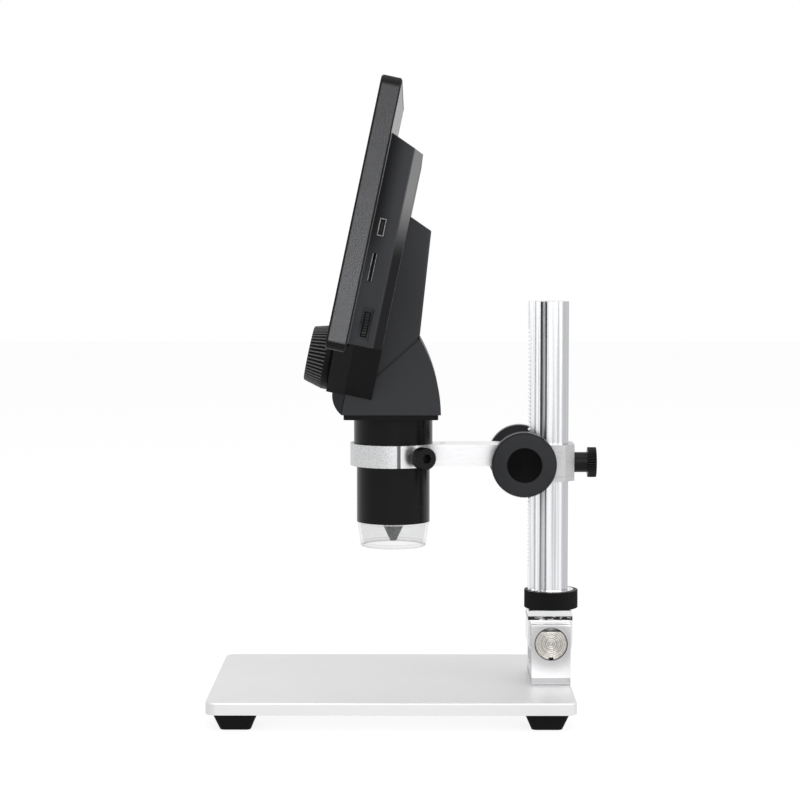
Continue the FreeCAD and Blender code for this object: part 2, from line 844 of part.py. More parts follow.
def make_focus_knob(name, side):
    outer = knob_inner_x + knob_width
    hub_start = slider_half_width + knob_hub_gap
    outline = [(hub_start, 0), (hub_start, knob_hub_radius), (knob_inner_x, knob_hub_radius),
               (knob_inner_x, knob_radius - knob_inner_edge), (knob_inner_x + knob_inner_edge, knob_radius),
               (outer - knob_cone_drop - knob_rim_run, knob_radius),
               (outer - knob_cone_drop, knob_radius - knob_rim_drop),
               (outer, knob_dish_radius + knob_dish_lip), (outer - knob_dish_depth, knob_dish_radius),
               (outer - knob_dish_depth, 0)]
    profile = face_of([Vector(x, pinion_y + r, slider_z) for x, r in outline])
    knob = profile.revolve(Vector(0, pinion_y, slider_z), Vector(1, 0, 0), 360)
    rim = prism_x(knurled(knob_radius, knurl_depth, knob_knurls), hub_start, outer)
    rim.translate(Vector(0, pinion_y, slider_z))
    knob = knob.common(rim)
    end = knob_inner_x + knob_width / 2
    knob = knob.cut(rod_x(pinion_shaft_radius, 0, end, pinion_y, slider_z))
    if side < 0:
        knob = knob.mirror(Vector(0, 0, 0), Vector(1, 0, 0))
    save(name, knob)


def make_column_lock_screw():
    shank_start = slider_rear + lock_seat_gap
    head_start = shank_start + lock_shank_length
    thread = rod_y(lock_thread_radius, column_rear + screw_tip_gap, shank_start, 0, lock_z)
    shank = rod_y(lock_shank_radius, shank_start, head_start, 0, lock_z)
    rim = knurled(lock_head_radius, 2 * knurl_depth, lock_knurls)
    head = prism_y(rim, head_start, head_start + lock_head_length)
    head.translate(Vector(0, 0, lock_z))
    save("column_lock_screw", thread.fuse([shank, head]).removeSplitter())


# Arm and ring
def make_clamp_arm():
    bar = block(-arm_half_width, arm_half_width, barrel_y, slider_front, arm_bottom, arm_top)
    ring = rod_z(ring_outer_radius, ring_bottom, ring_top, 0, barrel_y)
    arm = bar.fuse(ring).removeSplitter()
    arm = arm.cut(rod_z(ring_inner_radius, ring_bottom, ring_top, 0, barrel_y))
    groove = block(ring_outer_radius - ring_groove_depth, ring_outer_radius + 1, -ring_groove_half,
                   ring_groove_half, ring_bottom, ring_top)
    groove.rotate(Vector(0, 0, 0), Vector(0, 0, 1), ring_groove_angle)
    groove.translate(Vector(0, barrel_y, 0))
    arm = arm.cut(groove)
    hole_radius = ring_screw_thread_radius + thread_running_clearance
    thread = rod_x(hole_radius, barrel_radius, ring_outer_radius + 1, 0, arm_z)
    arm = arm.cut(at_ring_screw(thread))
    arm = arm.cut(rod_z(set_screw_radius, arm_top - set_screw_length, arm_top, 0, set_screw_y))
    seat = slider_front - arm_screw_bite * (1 - arm_screw_slider_share)
    arm = arm.cut(rod_y(arm_screw_radius, seat, slider_front, 0, arm_z))
    arm = arm.cut(rod_y(arm_screw_head_radius, seat - arm_screw_head_height, seat, 0, arm_z))
    save("clamp_arm", arm)


def at_ring_screw(shape):
    """Turn a shape drawn along +X from the ring's centre to the ring screw's direction."""
    shape.rotate(Vector(0, 0, 0), Vector(0, 0, 1), ring_screw_angle)
    shape.translate(Vector(0, barrel_y, 0))
    return shape


def make_arm_screws():
    seat = slider_front - arm_screw_bite * (1 - arm_screw_slider_share)
    head = rod_y(arm_screw_head_radius, seat - arm_screw_head_height, seat, 0, arm_z)
    shank = rod_y(arm_screw_radius, seat, seat + arm_screw_bite, 0, arm_z)
    save("arm_screw", head.fuse(shank).removeSplitter())
    grub = rod_z(set_screw_radius, arm_top - set_screw_length, arm_top - set_screw_recess, 0, set_screw_y)
    save("arm_set_screw", grub)


def make_ring_lock_screw():
    neck_start = ring_outer_radius + 2 * screw_tip_gap
    head_start = neck_start + ring_screw_neck_length
    head_end = head_start + ring_screw_head_length
    tip = barrel_radius + 2 * screw_tip_gap
    thread = rod_x(ring_screw_thread_radius, tip, neck_start, 0, arm_z)
    neck = rod_x(ring_screw_neck_radius, neck_start, head_start, 0, arm_z)
    head = prism_x(knurled(ring_screw_head_radius, knurl_depth, lock_knurls), head_start, head_end)
    head.translate(Vector(0, 0, arm_z))
    screw = thread.fuse([neck, head]).removeSplitter()
    corner = ring_screw_socket_flats / math.sqrt(3)
    screw = screw.cut(prism_x(hexagon_at(corner, 0, arm_z), head_end - ring_screw_socket_depth, head_end))
    save("ring_lock_screw", at_ring_screw(screw))


# Barrel, light and lens
def make_barrel():
    body = rod_z(barrel_radius, barrel_bottom, shoulder_z, 0, barrel_y)
    head = rod_z(barrel_head_radius, shoulder_z, barrel_top, 0, barrel_y)
    spigot_top = barrel_top + barrel_spigot_length
    spigot = rod_z(barrel_spigot_radius, barrel_top, spigot_top, 0, barrel_y)
    body = body.fuse([head, spigot]).removeSplitter()
    body = body.cut(rod_z(barrel_lip_radius, barrel_bottom, spigot_top, 0, barrel_y))
    body = body.cut(rod_z(barrel_bore_radius, barrel_bottom, lip_bottom, 0, barrel_y))
    save("barrel", body.cut(rod_z(barrel_bore_radius, lip_top, spigot_top, 0, barrel_y)))


def make_light_cap():
    wall = cone_z(cap_bottom_radius, barrel_radius, cap_bottom, barrel_bottom, 0, barrel_y)
    inner_top = barrel_radius - cap_wall
    wall = wall.cut(cone_z(cap_bottom_radius - cap_wall, inner_top, cap_bottom, barrel_bottom, 0, barrel_y))
    ledge = rod_z(inner_top + fuse_overlap, barrel_bottom - cap_ledge_length, barrel_bottom, 0, barrel_y)
    spigot_top = barrel_bottom + cap_spigot_length
    ledge = ledge.fuse(rod_z(barrel_bore_radius, barrel_bottom, spigot_top, 0, barrel_y))
    ledge = ledge.cut(rod_z(barrel_lip_radius, barrel_bottom - 2, barrel_bottom + 2, 0, barrel_y))
    save("light_cap", wall.fuse(ledge).removeSplitter())


def make_led_parts():
    z0 = barrel_bottom + cap_spigot_length
    board = rod_z(barrel_bore_radius, z0, lip_bottom, 0, barrel_y)
    save("led_board", board.cut(rod_z(led_board_hole, z0, lip_bottom, 0, barrel_y)))
    leds = []
    for i in range(led_count):
        led = block(led_circle - led_size / 2, led_circle + led_size / 2, -led_size / 2, led_size / 2,
                    z0 - led_height, z0)
        led.rotate(Vector(0, 0, 0), Vector(0, 0, 1), 360.0 * i / led_count)
        led.translate(Vector(0, barrel_y, 0))
        leds.append(led)
    save("leds", Part.makeCompound(leds))


def focus_rack_box(z0, z1, grow):
    """The upright bar of the focus rack, grown sideways by a margin."""
    x0 = focus_pitch_radius - focus_module - grow
    y = barrel_y - focus_rack_offset
    half = focus_rack_width / 2 + grow
    return block(x0, x0 + focus_rack_thickness + 2 * grow, y - half, y + half, z0, z1)


def make_lens_carriage():
    outer = rod_z(carriage_radius, carriage_bottom, carriage_top, 0, barrel_y)
    bore = rod_z(carriage_radius - carriage_wall, carriage_bottom, carriage_top, 0, barrel_y)
    lug = focus_rack_box(carriage_top - carriage_lug_height, carriage_top, carriage_lug_wall).common(outer)
    tube = outer.cut(bore).fuse(lug).removeSplitter()
    save("carriage_tube", tube)
    flange_low = carriage_bottom
    flange_high = flange_low + cone_flange_thickness
    cone = cone_z(cone_tip_radius, cone_mouth_radius, cone_tip, cone_tip + cone_length, 0, barrel_y)
    stem = rod_z(cone_top_radius, cone_tip + cone_length, flange_high, 0, barrel_y)
    flange = rod_z(carriage_radius - carriage_wall, flange_low, flange_high, 0, barrel_y)
    cone = cone.fuse([stem, flange]).removeSplitter()
    cone = cone.cut(rod_z(cone_tip_radius * cone_bore_share, cone_tip, flange_high, 0, barrel_y))
    pocket = flange_high - lens_thickness
    cone = cone.cut(rod_z(lens_radius + lens_fit, pocket, flange_high, 0, barrel_y))
    save("objective_cone", cone)
    save("objective_lens", rod_z(lens_radius, pocket, flange_high - lens_recess, 0, barrel_y))


def focus_axis_point(depth):
    """Point on the focus wheel's axis, at a depth behind the screen's front face."""
    return display_frame.multVec(Vector(0, depth, wheel_axis_height))


def focus_pinion_depth():
    """Depth at which the wheel's axis passes the middle of the focus rack."""
    target = barrel_y - focus_rack_offset
    front = focus_axis_point(0)
    return (target - front.y) / math.cos(math.radians(display_tilt))


def make_focus_rack():
    depth = focus_pinion_depth()
    axis_z = focus_axis_point(depth).z
    top = axis_z + focus_rack_above_axis
    bar = focus_rack_box(carriage_top, top, 0)
    reach = focus_rack_thickness + 1
    teeth_low = -focus_rack_below_axis - 1
    outline = rack_outline(focus_module, teeth_low, focus_rack_above_axis + focus_rack_spare, reach)
    teeth = prism_y([(focus_pitch_radius + x, wheel_axis_height + z) for x, z in outline],
                    depth - focus_teeth_half_reach, depth + focus_teeth_half_reach)
    upper = focus_rack_box(axis_z - focus_rack_below_axis, top, 0).common(on_display(teeth))
    lower = bar.cut(focus_rack_box(axis_z - focus_rack_below_axis, top + 1, 1))
    save("focus_rack", lower.fuse(upper).removeSplitter())


def make_focus_wheel():
    rear = chin_front_depth - wheel_gap
    skirt_front = rear - wheel_skirt_length
    front = skirt_front - wheel_rib_length
    wires = []
    for radius, depth in ((wheel_skirt_radius - wheel_rim_step, skirt_front), (wheel_front_radius, front)):
        points = [Vector(x, depth, z) for x, z in knurled(radius, wheel_rib_depth, wheel_ribs)]
        wires.append(Part.makePolygon(points + points[:1]))
    ribs = Part.makeLoft(wires, True, True)
    wheel = ribs.fuse(rod_y(wheel_skirt_radius, skirt_front, rear, 0, 0)).removeSplitter()
    wheel = wheel.cut(rod_y(wheel_shaft_radius, front + wheel_shaft_depth, rear, 0, 0))
    wheel.translate(Vector(0, 0, wheel_axis_height))
    save("focus_wheel", on_display(wheel))
    middle = focus_pinion_depth()
    shaft_end = middle + focus_pinion_length / 2 + 1
    shaft = rod_y(wheel_shaft_radius, front + wheel_shaft_depth, shaft_end, 0, wheel_axis_height)
    save("wheel_shaft", on_display(shaft))
    gear = prism_y(gear_outline(focus_module, focus_teeth), -focus_pinion_length / 2, focus_pinion_length / 2)
    gear.translate(Vector(-gear_gap, middle, wheel_axis_height))
    gear = gear.cut(shaft)
    save("wheel_pinion", on_display(gear))


# Housing of the head
def hood_profile(inset):
    """Side profile of the hood as a face in the YZ plane, drawn in by a wall thickness."""
    front = barrel_y - hood_bottom_half_front + inset
    rear = barrel_y + hood_bottom_half_rear - inset
    low = flange_top - (0.01 if inset else 0)
    top = Vector(0, barrel_y + hood_top_y - inset, flange_top + hood_top_z - hood_top_wall_share * inset)
    rear_bulge = Vector(0, barrel_y + hood_rear_bulge[0] - inset, flange_top + hood_rear_bulge[1])
    front_bulge = Vector(0, barrel_y - hood_front_bulge[0] + inset, flange_top + hood_front_bulge[1])
    front_top = Vector(0, barrel_y - hood_front_top[0] + inset, flange_top + hood_front_top[1])
    crest = Vector(0, barrel_y - hood_crest[0] - inset, flange_top + hood_crest[1])
    low_front = Vector(0, front, low)
    low_rear = Vector(0, rear, low)
    edges = [Part.Arc(front_top, front_bulge, low_front).toShape(), Part.makeLine(low_front, low_rear),
             Part.Arc(low_rear, rear_bulge, top).toShape(), Part.makeLine(top, crest),
             Part.makeLine(crest, front_top)]
    return Part.Face(Part.Wire(edges))


def hood_solid(inset):
    half = neck_half_width - inset
    face = hood_profile(inset)
    face.translate(Vector(-half, 0, 0))
    return face.extrude(Vector(2 * half, 0, 0))


def neck_solid(inset):
    """The block behind the display, in the screen's frame, drawn in by a wall thickness."""
    half = neck_half_width - inset
    front = tier_inner_rear - fuse_overlap
    outline = [(front, neck_top_front - inset), (neck_rear_top_depth - inset, neck_top_rear - inset),
               (neck_rear_foot_depth - inset, neck_rear_foot_height),
               (front + neck_root_step, neck_root_height), (front, neck_root_height)]
    neck = prism_x(outline, -half, half)
    if inset == 0:
        rear = [e for e in edges_along(neck, Vector(0, neck_rear_foot_depth - neck_rear_top_depth,
                                                    neck_rear_foot_height - neck_top_rear).normalize())]
        neck = neck.makeFillet(neck_edge, rear)
    return neck


def tier_solid(inset):
    """The raised back of the display, with bevelled side edges and a sloping top."""
    half = tier_half_width - inset
    rear = tier_rear - inset
    side = slab_depth + tier_side_depth
    front = slab_depth - (fuse_overlap if inset else 0)
    outline = [(front, tier_bottom + inset), (rear, tier_bottom + inset),
               (rear, tier_top_rear - inset), (front, tier_top_front - inset)]
    tier = prism_x(outline, -half, half)
    plan = [(-half, front), (half, front), (half, side), (half - tier_chamfer, side + tier_chamfer),
            (half - tier_chamfer, rear + 1), (-half + tier_chamfer, rear + 1),
            (-half + tier_chamfer, side + tier_chamfer), (-half, side)]
    return tier.common(prism_z(plan, -oversize, oversize))


def chin_solid(inset, front, rear, top):
    """The part under the screen, narrowing downwards, from one depth to another."""
    slope = (chin_half_width - neck_half_width) / (tier_bottom - chin_bottom)
    low = chin_bottom + inset
    low_half = neck_half_width - inset + slope * inset
    high_half = chin_half_width - inset
    outline = [(-low_half, low), (low_half, low), (high_half, tier_bottom), (high_half, top),
               (-high_half, top), (-high_half, tier_bottom)]
    return prism_y(outline, front, rear)


def seam_half(front):
    """A large block on one side of the seam plane between the two housings."""
    if front:
        return block(-oversize, oversize, -oversize, seam_depth, -oversize, tier_bottom)
    return block(-oversize, oversize, seam_depth + seam_gap, oversize, -oversize, slab_height)


def housing_cavity():
    """Everything hollow inside the chin, the hood and the neck."""
    chin = chin_solid(shell_wall, chin_front_depth + shell_wall, tier_inner_rear, tier_bottom + cavity_rise)
    cavity = on_display(chin).fuse([on_display(neck_solid(shell_wall)), hood_solid(shell_wall)])
    return cavity


def make_front_housing():
    slab = block(-slab_half_width, slab_half_width, 0, slab_depth, 0, slab_height)
    slab = slab.makeFillet(slab_corner, edges_along(slab, Vector(0, 1, 0)))
    rim = [e for e in slab.Edges if e.BoundBox.YMax - e.BoundBox.YMin < 1e-6]
    slab = slab.makeChamfer(slab_edge, rim)
    inner_x = slab_half_width - shell_wall
    hollow = block(-inner_x, inner_x, front_wall, slab_depth + 1, shell_wall, slab_height - shell_wall)
    hollow = hollow.makeFillet(slab_corner - shell_wall, edges_along(hollow, Vector(0, 1, 0)))
    slab = slab.cut(hollow)
    slab = slab.cut(block(-glass_half_width - part_gap, glass_half_width + part_gap, 0, glass_thickness,
                          glass_bottom - part_gap, glass_top + part_gap))
    slab = slab.cut(block(-window_half_width, window_half_width, 0, front_wall, window_bottom, window_top))
    for _, x in button_places:
        slab = slab.cut(rod_y(button_radius + button_clearance, 0, front_wall, x, button_height))
    cup_wall = wheel_notch_radius + front_wall
    cup = rod_y(cup_wall, slab_edge, chin_front_depth + front_wall, 0, wheel_axis_height)
    cup = cup.common(block(-cup_wall, cup_wall, 0, slab_depth, 0, slab_height))
    posts = [rod_y(post_radius, front_wall, slab_depth - back_plate - part_gap, side * cover_screw_x, z)
             for side in (-1, 1) for z in cover_screw_heights]
    chin = chin_solid(0, chin_front_depth, seam_depth, tier_bottom)
    chin = chin.cut(block(-oversize, oversize, 0, slab_depth, shell_wall, slab_height))
    shell = on_display(slab.fuse([cup] + posts + [chin]))
    shell = shell.fuse(hood_solid(0).common(on_display(seam_half(True))))
    cavity_top = tier_bottom + cavity_rise
    behind_slab = block(-oversize, oversize, chin_front_depth + shell_wall, seam_depth, 0, cavity_top)
    front_room = on_display(seam_half(True).fuse(behind_slab))
    shell = shell.cut(housing_cavity().common(front_room))
    boss = rod_y(wheel_boss_radius, chin_front_depth + fuse_overlap, chin_front_depth + wheel_boss_length,
                 0, wheel_axis_height)
    shell = shell.fuse(on_display(boss))
    notch = rod_y(wheel_notch_radius, -1, chin_front_depth, 0, wheel_axis_height)
    shaft_hole = wheel_shaft_radius + bush_running_clearance
    notch = notch.fuse(rod_y(shaft_hole, 0, seam_depth, 0, wheel_axis_height))
    for side in (-1, 1):
        for z in cover_screw_heights:
            notch = notch.fuse(rod_y(small_screw_radius, front_wall + cover_screw_tip_wall, slab_depth,
                                     side * cover_screw_x, z))
    save("front_housing", shell.cut(on_display(notch)).removeSplitter())


def groove_tool():
    """The narrow groove that runs round the head where the neck meets the hood."""
    start = Vector(0, barrel_y + groove_low_end[0], flange_top + groove_low_end[1])
    end = Vector(0, barrel_y + groove_high_end[0], flange_top + groove_high_end[1])
    along = (end - start).normalize()
    across = Vector(0, -along.z, along.y) * (groove_width / 2)
    corners = [start - across, end - across + along, end + across + along, start + across]
    outline = [(c.y, c.z) for c in corners]
    band = prism_x(outline, -neck_half_width - 1, neck_half_width + 1)
    keep = block(-neck_half_width + groove_cut, neck_half_width - groove_cut, barrel_y - oversize,
                 barrel_y + hood_top_y - groove_cut, 0, flange_top + oversize)
    return band.cut(keep)


def make_rear_housing():
    plate_x = slab_half_width - shell_wall - part_gap
    plate_low = shell_wall + part_gap
    plate_high = slab_height - shell_wall - part_gap
    plate = block(-plate_x, plate_x, slab_depth - back_plate, slab_depth, plate_low, plate_high)
    plate = plate.makeFillet(slab_corner - shell_wall, edges_along(plate, Vector(0, 1, 0)))
    chin = chin_solid(0, seam_depth + seam_gap, tier_rear, tier_bottom)
    shell = plate.fuse([tier_solid(0), chin, neck_solid(0)])
    shell = on_display(shell).fuse(hood_solid(0).common(on_display(seam_half(False))))
    shell = shell.cut(on_display(tier_solid(shell_wall)))
    opening = block(-tier_half_width + shell_wall, tier_half_width - shell_wall, slab_depth - back_plate - 1,
                    slab_depth + 1, tier_bottom + shell_wall, tier_top_front - shell_wall)
    shell = shell.cut([on_display(opening), housing_cavity(), groove_tool()])
    posts = [rod_y(post_radius, board_rear, tier_inner_rear + fuse_overlap, x, z) for x, z in post_places]
    corner_bosses = [rod_z(post_radius, flange_top, flange_top + neck_boss_height, side * neck_screw_x, y)
                     for side in (-1, 1) for y in neck_screw_rows]
    shell = shell.fuse([on_display(p) for p in posts] + corner_bosses)
    holes = [on_display(rod_y(small_screw_radius, board_rear, board_rear + small_screw_bite, x, z))
             for x, z in post_places]
    holes += [rod_z(small_screw_radius, flange_top, flange_top + small_screw_bite, side * neck_screw_x, y)
              for side in (-1, 1) for y in neck_screw_rows]
    for side in (-1, 1):
        for z in cover_screw_heights:
            holes.append(on_display(rod_y(small_screw_radius, 0, slab_depth, side * cover_screw_x, z)))
            head_room = rod_y(small_screw_head_radius + part_gap, slab_depth - small_screw_head_height,
                              slab_depth + 1, side * cover_screw_x, z)
            holes.append(on_display(head_room))
    for length, thickness, height in ((usb_length, usb_thickness, usb_height),
                                      (card_slot_length, card_thickness, card_height)):
        holes.append(on_display(side_window(length, thickness, height, board_rear + thickness / 2)))
    holes.append(on_display(dimmer_recess()))
    save("rear_housing", shell.cut(holes).removeSplitter())


def side_window(length, thickness, height, depth):
    """A slot through the right-hand side wall of the raised back."""
    gap = part_gap
    return block(tier_half_width - shell_wall - 1, tier_half_width + 1, depth - thickness / 2 - gap,
                 depth + thickness / 2 + gap, height - length / 2 - gap, height + length / 2 + gap)


def dimmer_recess():
    """The scooped finger recess of the brightness wheel and the slot behind it."""
    chord = dimmer_recess_length / 2
    scoop_radius = (chord ** 2 + dimmer_recess_depth ** 2) / (2 * dimmer_recess_depth)
    scoop_half = dimmer_recess_width / 2
    scoop_x = tier_half_width + scoop_radius - dimmer_recess_depth * dimmer_recess_share
    scoop = rod_y(scoop_radius, dimmer_depth - scoop_half, dimmer_depth + scoop_half, scoop_x, dimmer_height)
    half = dimmer_thickness / 2 + dimmer_side_gap
    slot_radius = dimmer_radius + dimmer_round_gap
    slot = rod_y(slot_radius, dimmer_depth - half, dimmer_depth + half, dimmer_x, dimmer_height)
    return scoop.fuse(slot)


def make_neck_flange():
    plate = block(-flange_half_width, flange_half_width, barrel_y - flange_front, barrel_y + flange_rear,
                  barrel_top, flange_top)
    plate = plate.makeFillet(flange_corner, edges_along(plate, Vector(0, 0, 1)))
    plate = plate.cut(rod_z(barrel_spigot_radius, barrel_top, flange_top, 0, barrel_y))
    for side in (-1, 1):
        for y in neck_screw_rows:
            plate = plate.cut(rod_z(small_screw_radius, barrel_top, flange_top, side * neck_screw_x, y))
            plate = plate.cut(rod_z(small_screw_head_radius + part_gap, barrel_top,
                                    barrel_top + small_screw_head_height, side * neck_screw_x, y))
    save("neck_flange", plate)
    seat = barrel_top + small_screw_head_height
    bite = flange_top + small_screw_bite - seat
    screws = [screw_z(small_screw_radius, small_screw_head_radius, small_screw_head_height, seat, bite,
                      side * neck_screw_x, y) for side in (-1, 1) for y in neck_screw_rows]
    save("neck_screws", Part.makeCompound(screws))


def make_screen():
    glass = block(-glass_half_width, glass_half_width, glass_bed, glass_thickness, glass_bottom, glass_top)
    save("screen_glass", on_display(glass))
    panel = block(-lcd_half_width, lcd_half_width, front_wall, front_wall + lcd_thickness,
                  lcd_bottom, lcd_bottom + lcd_height)
    save("lcd_panel", on_display(panel))
    seat = slab_depth - small_screw_head_height
    screws = [screw_y(small_screw_radius, small_screw_head_radius, small_screw_head_height, seat,
                      seat - front_wall - cover_screw_tip_wall, side * cover_screw_x, z)
              for side in (-1, 1) for z in cover_screw_heights]
    save("cover_screws", on_display(Part.makeCompound(screws)))


def make_main_board():
    board = block(-board_half_width, board_half_width, board_depth, board_rear, board_bottom, board_top)
    for x, z in post_places:
        board = board.cut(rod_y(small_screw_radius, board_depth, board_rear, x, z))
    notch_x = dimmer_x - dimmer_radius - 1
    board = board.cut(block(notch_x, tier_half_width, board_depth, board_rear, 0, board_notch_height))
    chips = [block(left, right, board_depth - height, board_depth, low, high)
             for left, right, height, low, high in board_chips]
    save("main_board", on_display(board.fuse(chips)))
    screws = []
    for x, z in post_places:
        screw = screw_y(small_screw_radius, small_screw_head_radius, small_screw_head_height, 0,
                        board_thickness + small_screw_bite, 0, 0)
        screw.rotate(Vector(0, 0, 0), Vector(0, 0, 1), 180)
        screw.translate(Vector(x, board_depth, z))
        screws.append(screw)
    save("board_screws", on_display(Part.makeCompound(screws)))


def make_battery():
    rear = tier_inner_rear
    cell = block(battery_left, battery_left + battery_width, rear - battery_thickness, rear,
                 battery_bottom, battery_bottom + battery_height)
    cell = cell.makeFillet(battery_corner, edges_along(cell, Vector(0, 1, 0)))
    save("battery", on_display(cell))


def open_shell(length, thickness, deep, height, sheet):
    """A folded metal socket, open towards +X, lying on the rear of the main board."""
    outer_x = tier_half_width - usb_inset
    y0 = board_rear
    shell = block(outer_x - deep, outer_x, y0, y0 + thickness, height - length / 2, height + length / 2)
    mouth = block(outer_x - deep * socket_mouth_share, outer_x, y0 + sheet, y0 + thickness - sheet,
                  height - length / 2 + sheet, height + length / 2 - sheet)
    return shell.cut(mouth)


def make_sockets():
    usb = open_shell(usb_length, usb_thickness, usb_deep, usb_height, usb_sheet)
    x1 = tier_half_width - usb_tongue_inset
    x0 = x1 - usb_deep * usb_tongue_reach
    y0 = board_rear + usb_thickness * usb_tongue_low
    y1 = board_rear + usb_thickness * usb_tongue_high
    half = usb_length * usb_tongue_half
    tongue = block(x0, x1, y0, y1, usb_height - half, usb_height + half)
    save("usb_socket", on_display(usb.fuse(tongue)))
    card = open_shell(card_length, card_thickness - 0.1, card_deep, card_height, card_sheet)
    card = card.cut(block(tier_half_width - shell_wall - 0.1, tier_half_width, board_rear, board_rear + 3,
                          card_height + card_slot_length / 2, card_height + card_length))
    card = card.cut(block(tier_half_width - shell_wall - 0.1, tier_half_width, board_rear, board_rear + 3,
                          card_height - card_length, card_height - card_slot_length / 2))
    save("card_socket", on_display(card))


def make_dimmer():
    low = dimmer_depth - dimmer_thickness / 2
    high = dimmer_depth + dimmer_thickness / 2
    wheel = prism_y(knurled(dimmer_radius, dimmer_tooth_depth, dimmer_teeth), low, high)
    wheel.translate(Vector(dimmer_x, 0, dimmer_height))
    bore = dimmer_axle_radius + bush_running_clearance
    save("brightness_wheel", on_display(wheel.cut(rod_y(bore, low, high, dimmer_x, dimmer_height))))
    body = block(dimmer_x - pot_half_width, dimmer_x + pot_half_width, board_rear, low - part_gap,
                 dimmer_height - pot_half_height, dimmer_height + pot_half_height)
    cap_end = high + pot_cap_end
    axle = rod_y(dimmer_axle_radius, low - part_gap, cap_end, dimmer_x, dimmer_height)
    cap = rod_y(dimmer_axle_radius + pot_cap_rim, high + part_gap, cap_end, dimmer_x, dimmer_height)
    save("brightness_pot", on_display(body.fuse([axle, cap]).removeSplitter()))


def make_buttons():
    rest = front_wall + button_seat_gap
    for name, x in button_places:
        cap = rod_y(button_radius, -button_proud, rest, x, button_height)
        crown = [e for e in cap.Edges if abs(e.BoundBox.YMax + button_proud) < 1e-6]
        cap = cap.makeFillet(button_crown, crown)
        flange = rod_y(button_flange_radius, rest, rest + button_flange_thickness, x, button_height)
        save("button_" + name, on_display(cap.fuse(flange).removeSplitter()))
    domes_front = rest + button_flange_thickness + button_travel + button_free_play
    board_front = domes_front + dome_height
    boards = []
    for side in (-1, 1):
        xs = sorted((side * button_board_inner_x, side * button_board_outer_x))
        board = block(xs[0], xs[1], board_front, board_front + button_board_thickness,
                      shell_wall, lcd_bottom - button_board_top_gap)
        domes = [block(x - dome_half, x + dome_half, domes_front, board_front, button_height - dome_half,
                       button_height + dome_half)
                 for _, x in button_places if x * side > 0]
        boards.append(board.fuse(domes).removeSplitter())
    save("button_boards", on_display(Part.makeCompound(boards)))


def make_sensor():
    low = barrel_top + barrel_spigot_length
    board = rod_z(sensor_board_radius, low, low + sensor_board_thickness, 0, barrel_y)
    board = board.cut(focus_rack_box(low - 1, low + 3, sensor_rack_gap))
    edge = focus_rack_box(low - 1, low + 3, sensor_rack_gap)
    edge.translate(Vector(0, -sensor_rack_room, 0))
    save("sensor_board", board.cut(edge))
    half = sensor_size / 2
    save("image_sensor", block(-half, half, barrel_y - half, barrel_y + half, low - sensor_thickness, low))


built = []
os.makedirs("parts", exist_ok=True)
make_base_plate()
make_feet()
make_foot_screws()
make_hinge_bracket()
make_bracket_screws()
make_pivot()
make_column_foot()
make_column_screw()
make_collar()
make_column()
make_slider_block()
make_shaft_bushes()
make_pinion_shaft()
make_rack_pinion()
make_focus_knob("focus_knob_right", 1)
make_focus_knob("focus_knob_left", -1)
make_column_lock_screw()
make_clamp_arm()
make_arm_screws()
make_ring_lock_screw()
make_barrel()
make_light_cap()
make_led_parts()
make_lens_carriage()
make_focus_rack()
make_focus_wheel()
make_front_housing()
make_rear_housing()
make_neck_flange()
make_screen()
make_main_board()
make_battery()
make_sockets()
make_dimmer()
make_buttons()
make_sensor()
whole = Part.makeCompound([shape for _, shape in built])
print(len(built), "nodes, box", whole.BoundBox)
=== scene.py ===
# %% [markdown]
# # A digital microscope with its own screen
#
# This lesson dresses a desk microscope: a lens barrel and a tilted screen, held by a ring on an
# arm that climbs a toothed aluminium column above a flat plate. The construction is already made
# as a frame of separate pieces at their real size, and it never moves. Here each piece gets its
# finish, and the pieces whose form needs a finer hand are modelled again in their own place.
# Everything is in metres, with +Z up and the user on the -Y side.

# %% Load the frame
import json
import math

import bmesh
import bpy
from mathutils import Matrix, Vector

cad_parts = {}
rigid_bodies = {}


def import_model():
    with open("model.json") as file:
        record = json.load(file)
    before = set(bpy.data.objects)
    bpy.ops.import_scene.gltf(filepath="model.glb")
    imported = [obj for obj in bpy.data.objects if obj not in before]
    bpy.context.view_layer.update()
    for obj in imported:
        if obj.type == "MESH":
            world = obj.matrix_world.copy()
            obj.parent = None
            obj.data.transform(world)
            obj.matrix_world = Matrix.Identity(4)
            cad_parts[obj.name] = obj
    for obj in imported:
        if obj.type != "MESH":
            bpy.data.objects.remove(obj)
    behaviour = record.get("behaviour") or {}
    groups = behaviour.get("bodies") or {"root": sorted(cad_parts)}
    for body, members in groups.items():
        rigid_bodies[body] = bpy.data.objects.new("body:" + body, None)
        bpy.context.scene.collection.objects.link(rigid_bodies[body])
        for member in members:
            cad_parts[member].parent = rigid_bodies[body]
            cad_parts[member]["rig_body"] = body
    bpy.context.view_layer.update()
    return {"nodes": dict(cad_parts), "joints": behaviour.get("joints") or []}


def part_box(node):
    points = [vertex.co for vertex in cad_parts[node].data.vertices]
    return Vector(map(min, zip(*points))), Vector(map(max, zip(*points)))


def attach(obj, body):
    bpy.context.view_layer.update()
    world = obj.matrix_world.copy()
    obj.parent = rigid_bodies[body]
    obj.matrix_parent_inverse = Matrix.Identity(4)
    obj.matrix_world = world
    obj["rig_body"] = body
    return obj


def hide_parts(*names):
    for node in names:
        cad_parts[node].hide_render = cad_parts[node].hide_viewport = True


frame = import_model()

MM = 0.001
nodes = frame["nodes"]

# %% [markdown]
# ## Places that the frame gives
#
# The middle of the barrel, the pivot, the knobs' axis and the screen's tilt are read from the
# frame's own joints, so that a finish can follow a real axis: turned rings round a bolt, or grain
# along a column.

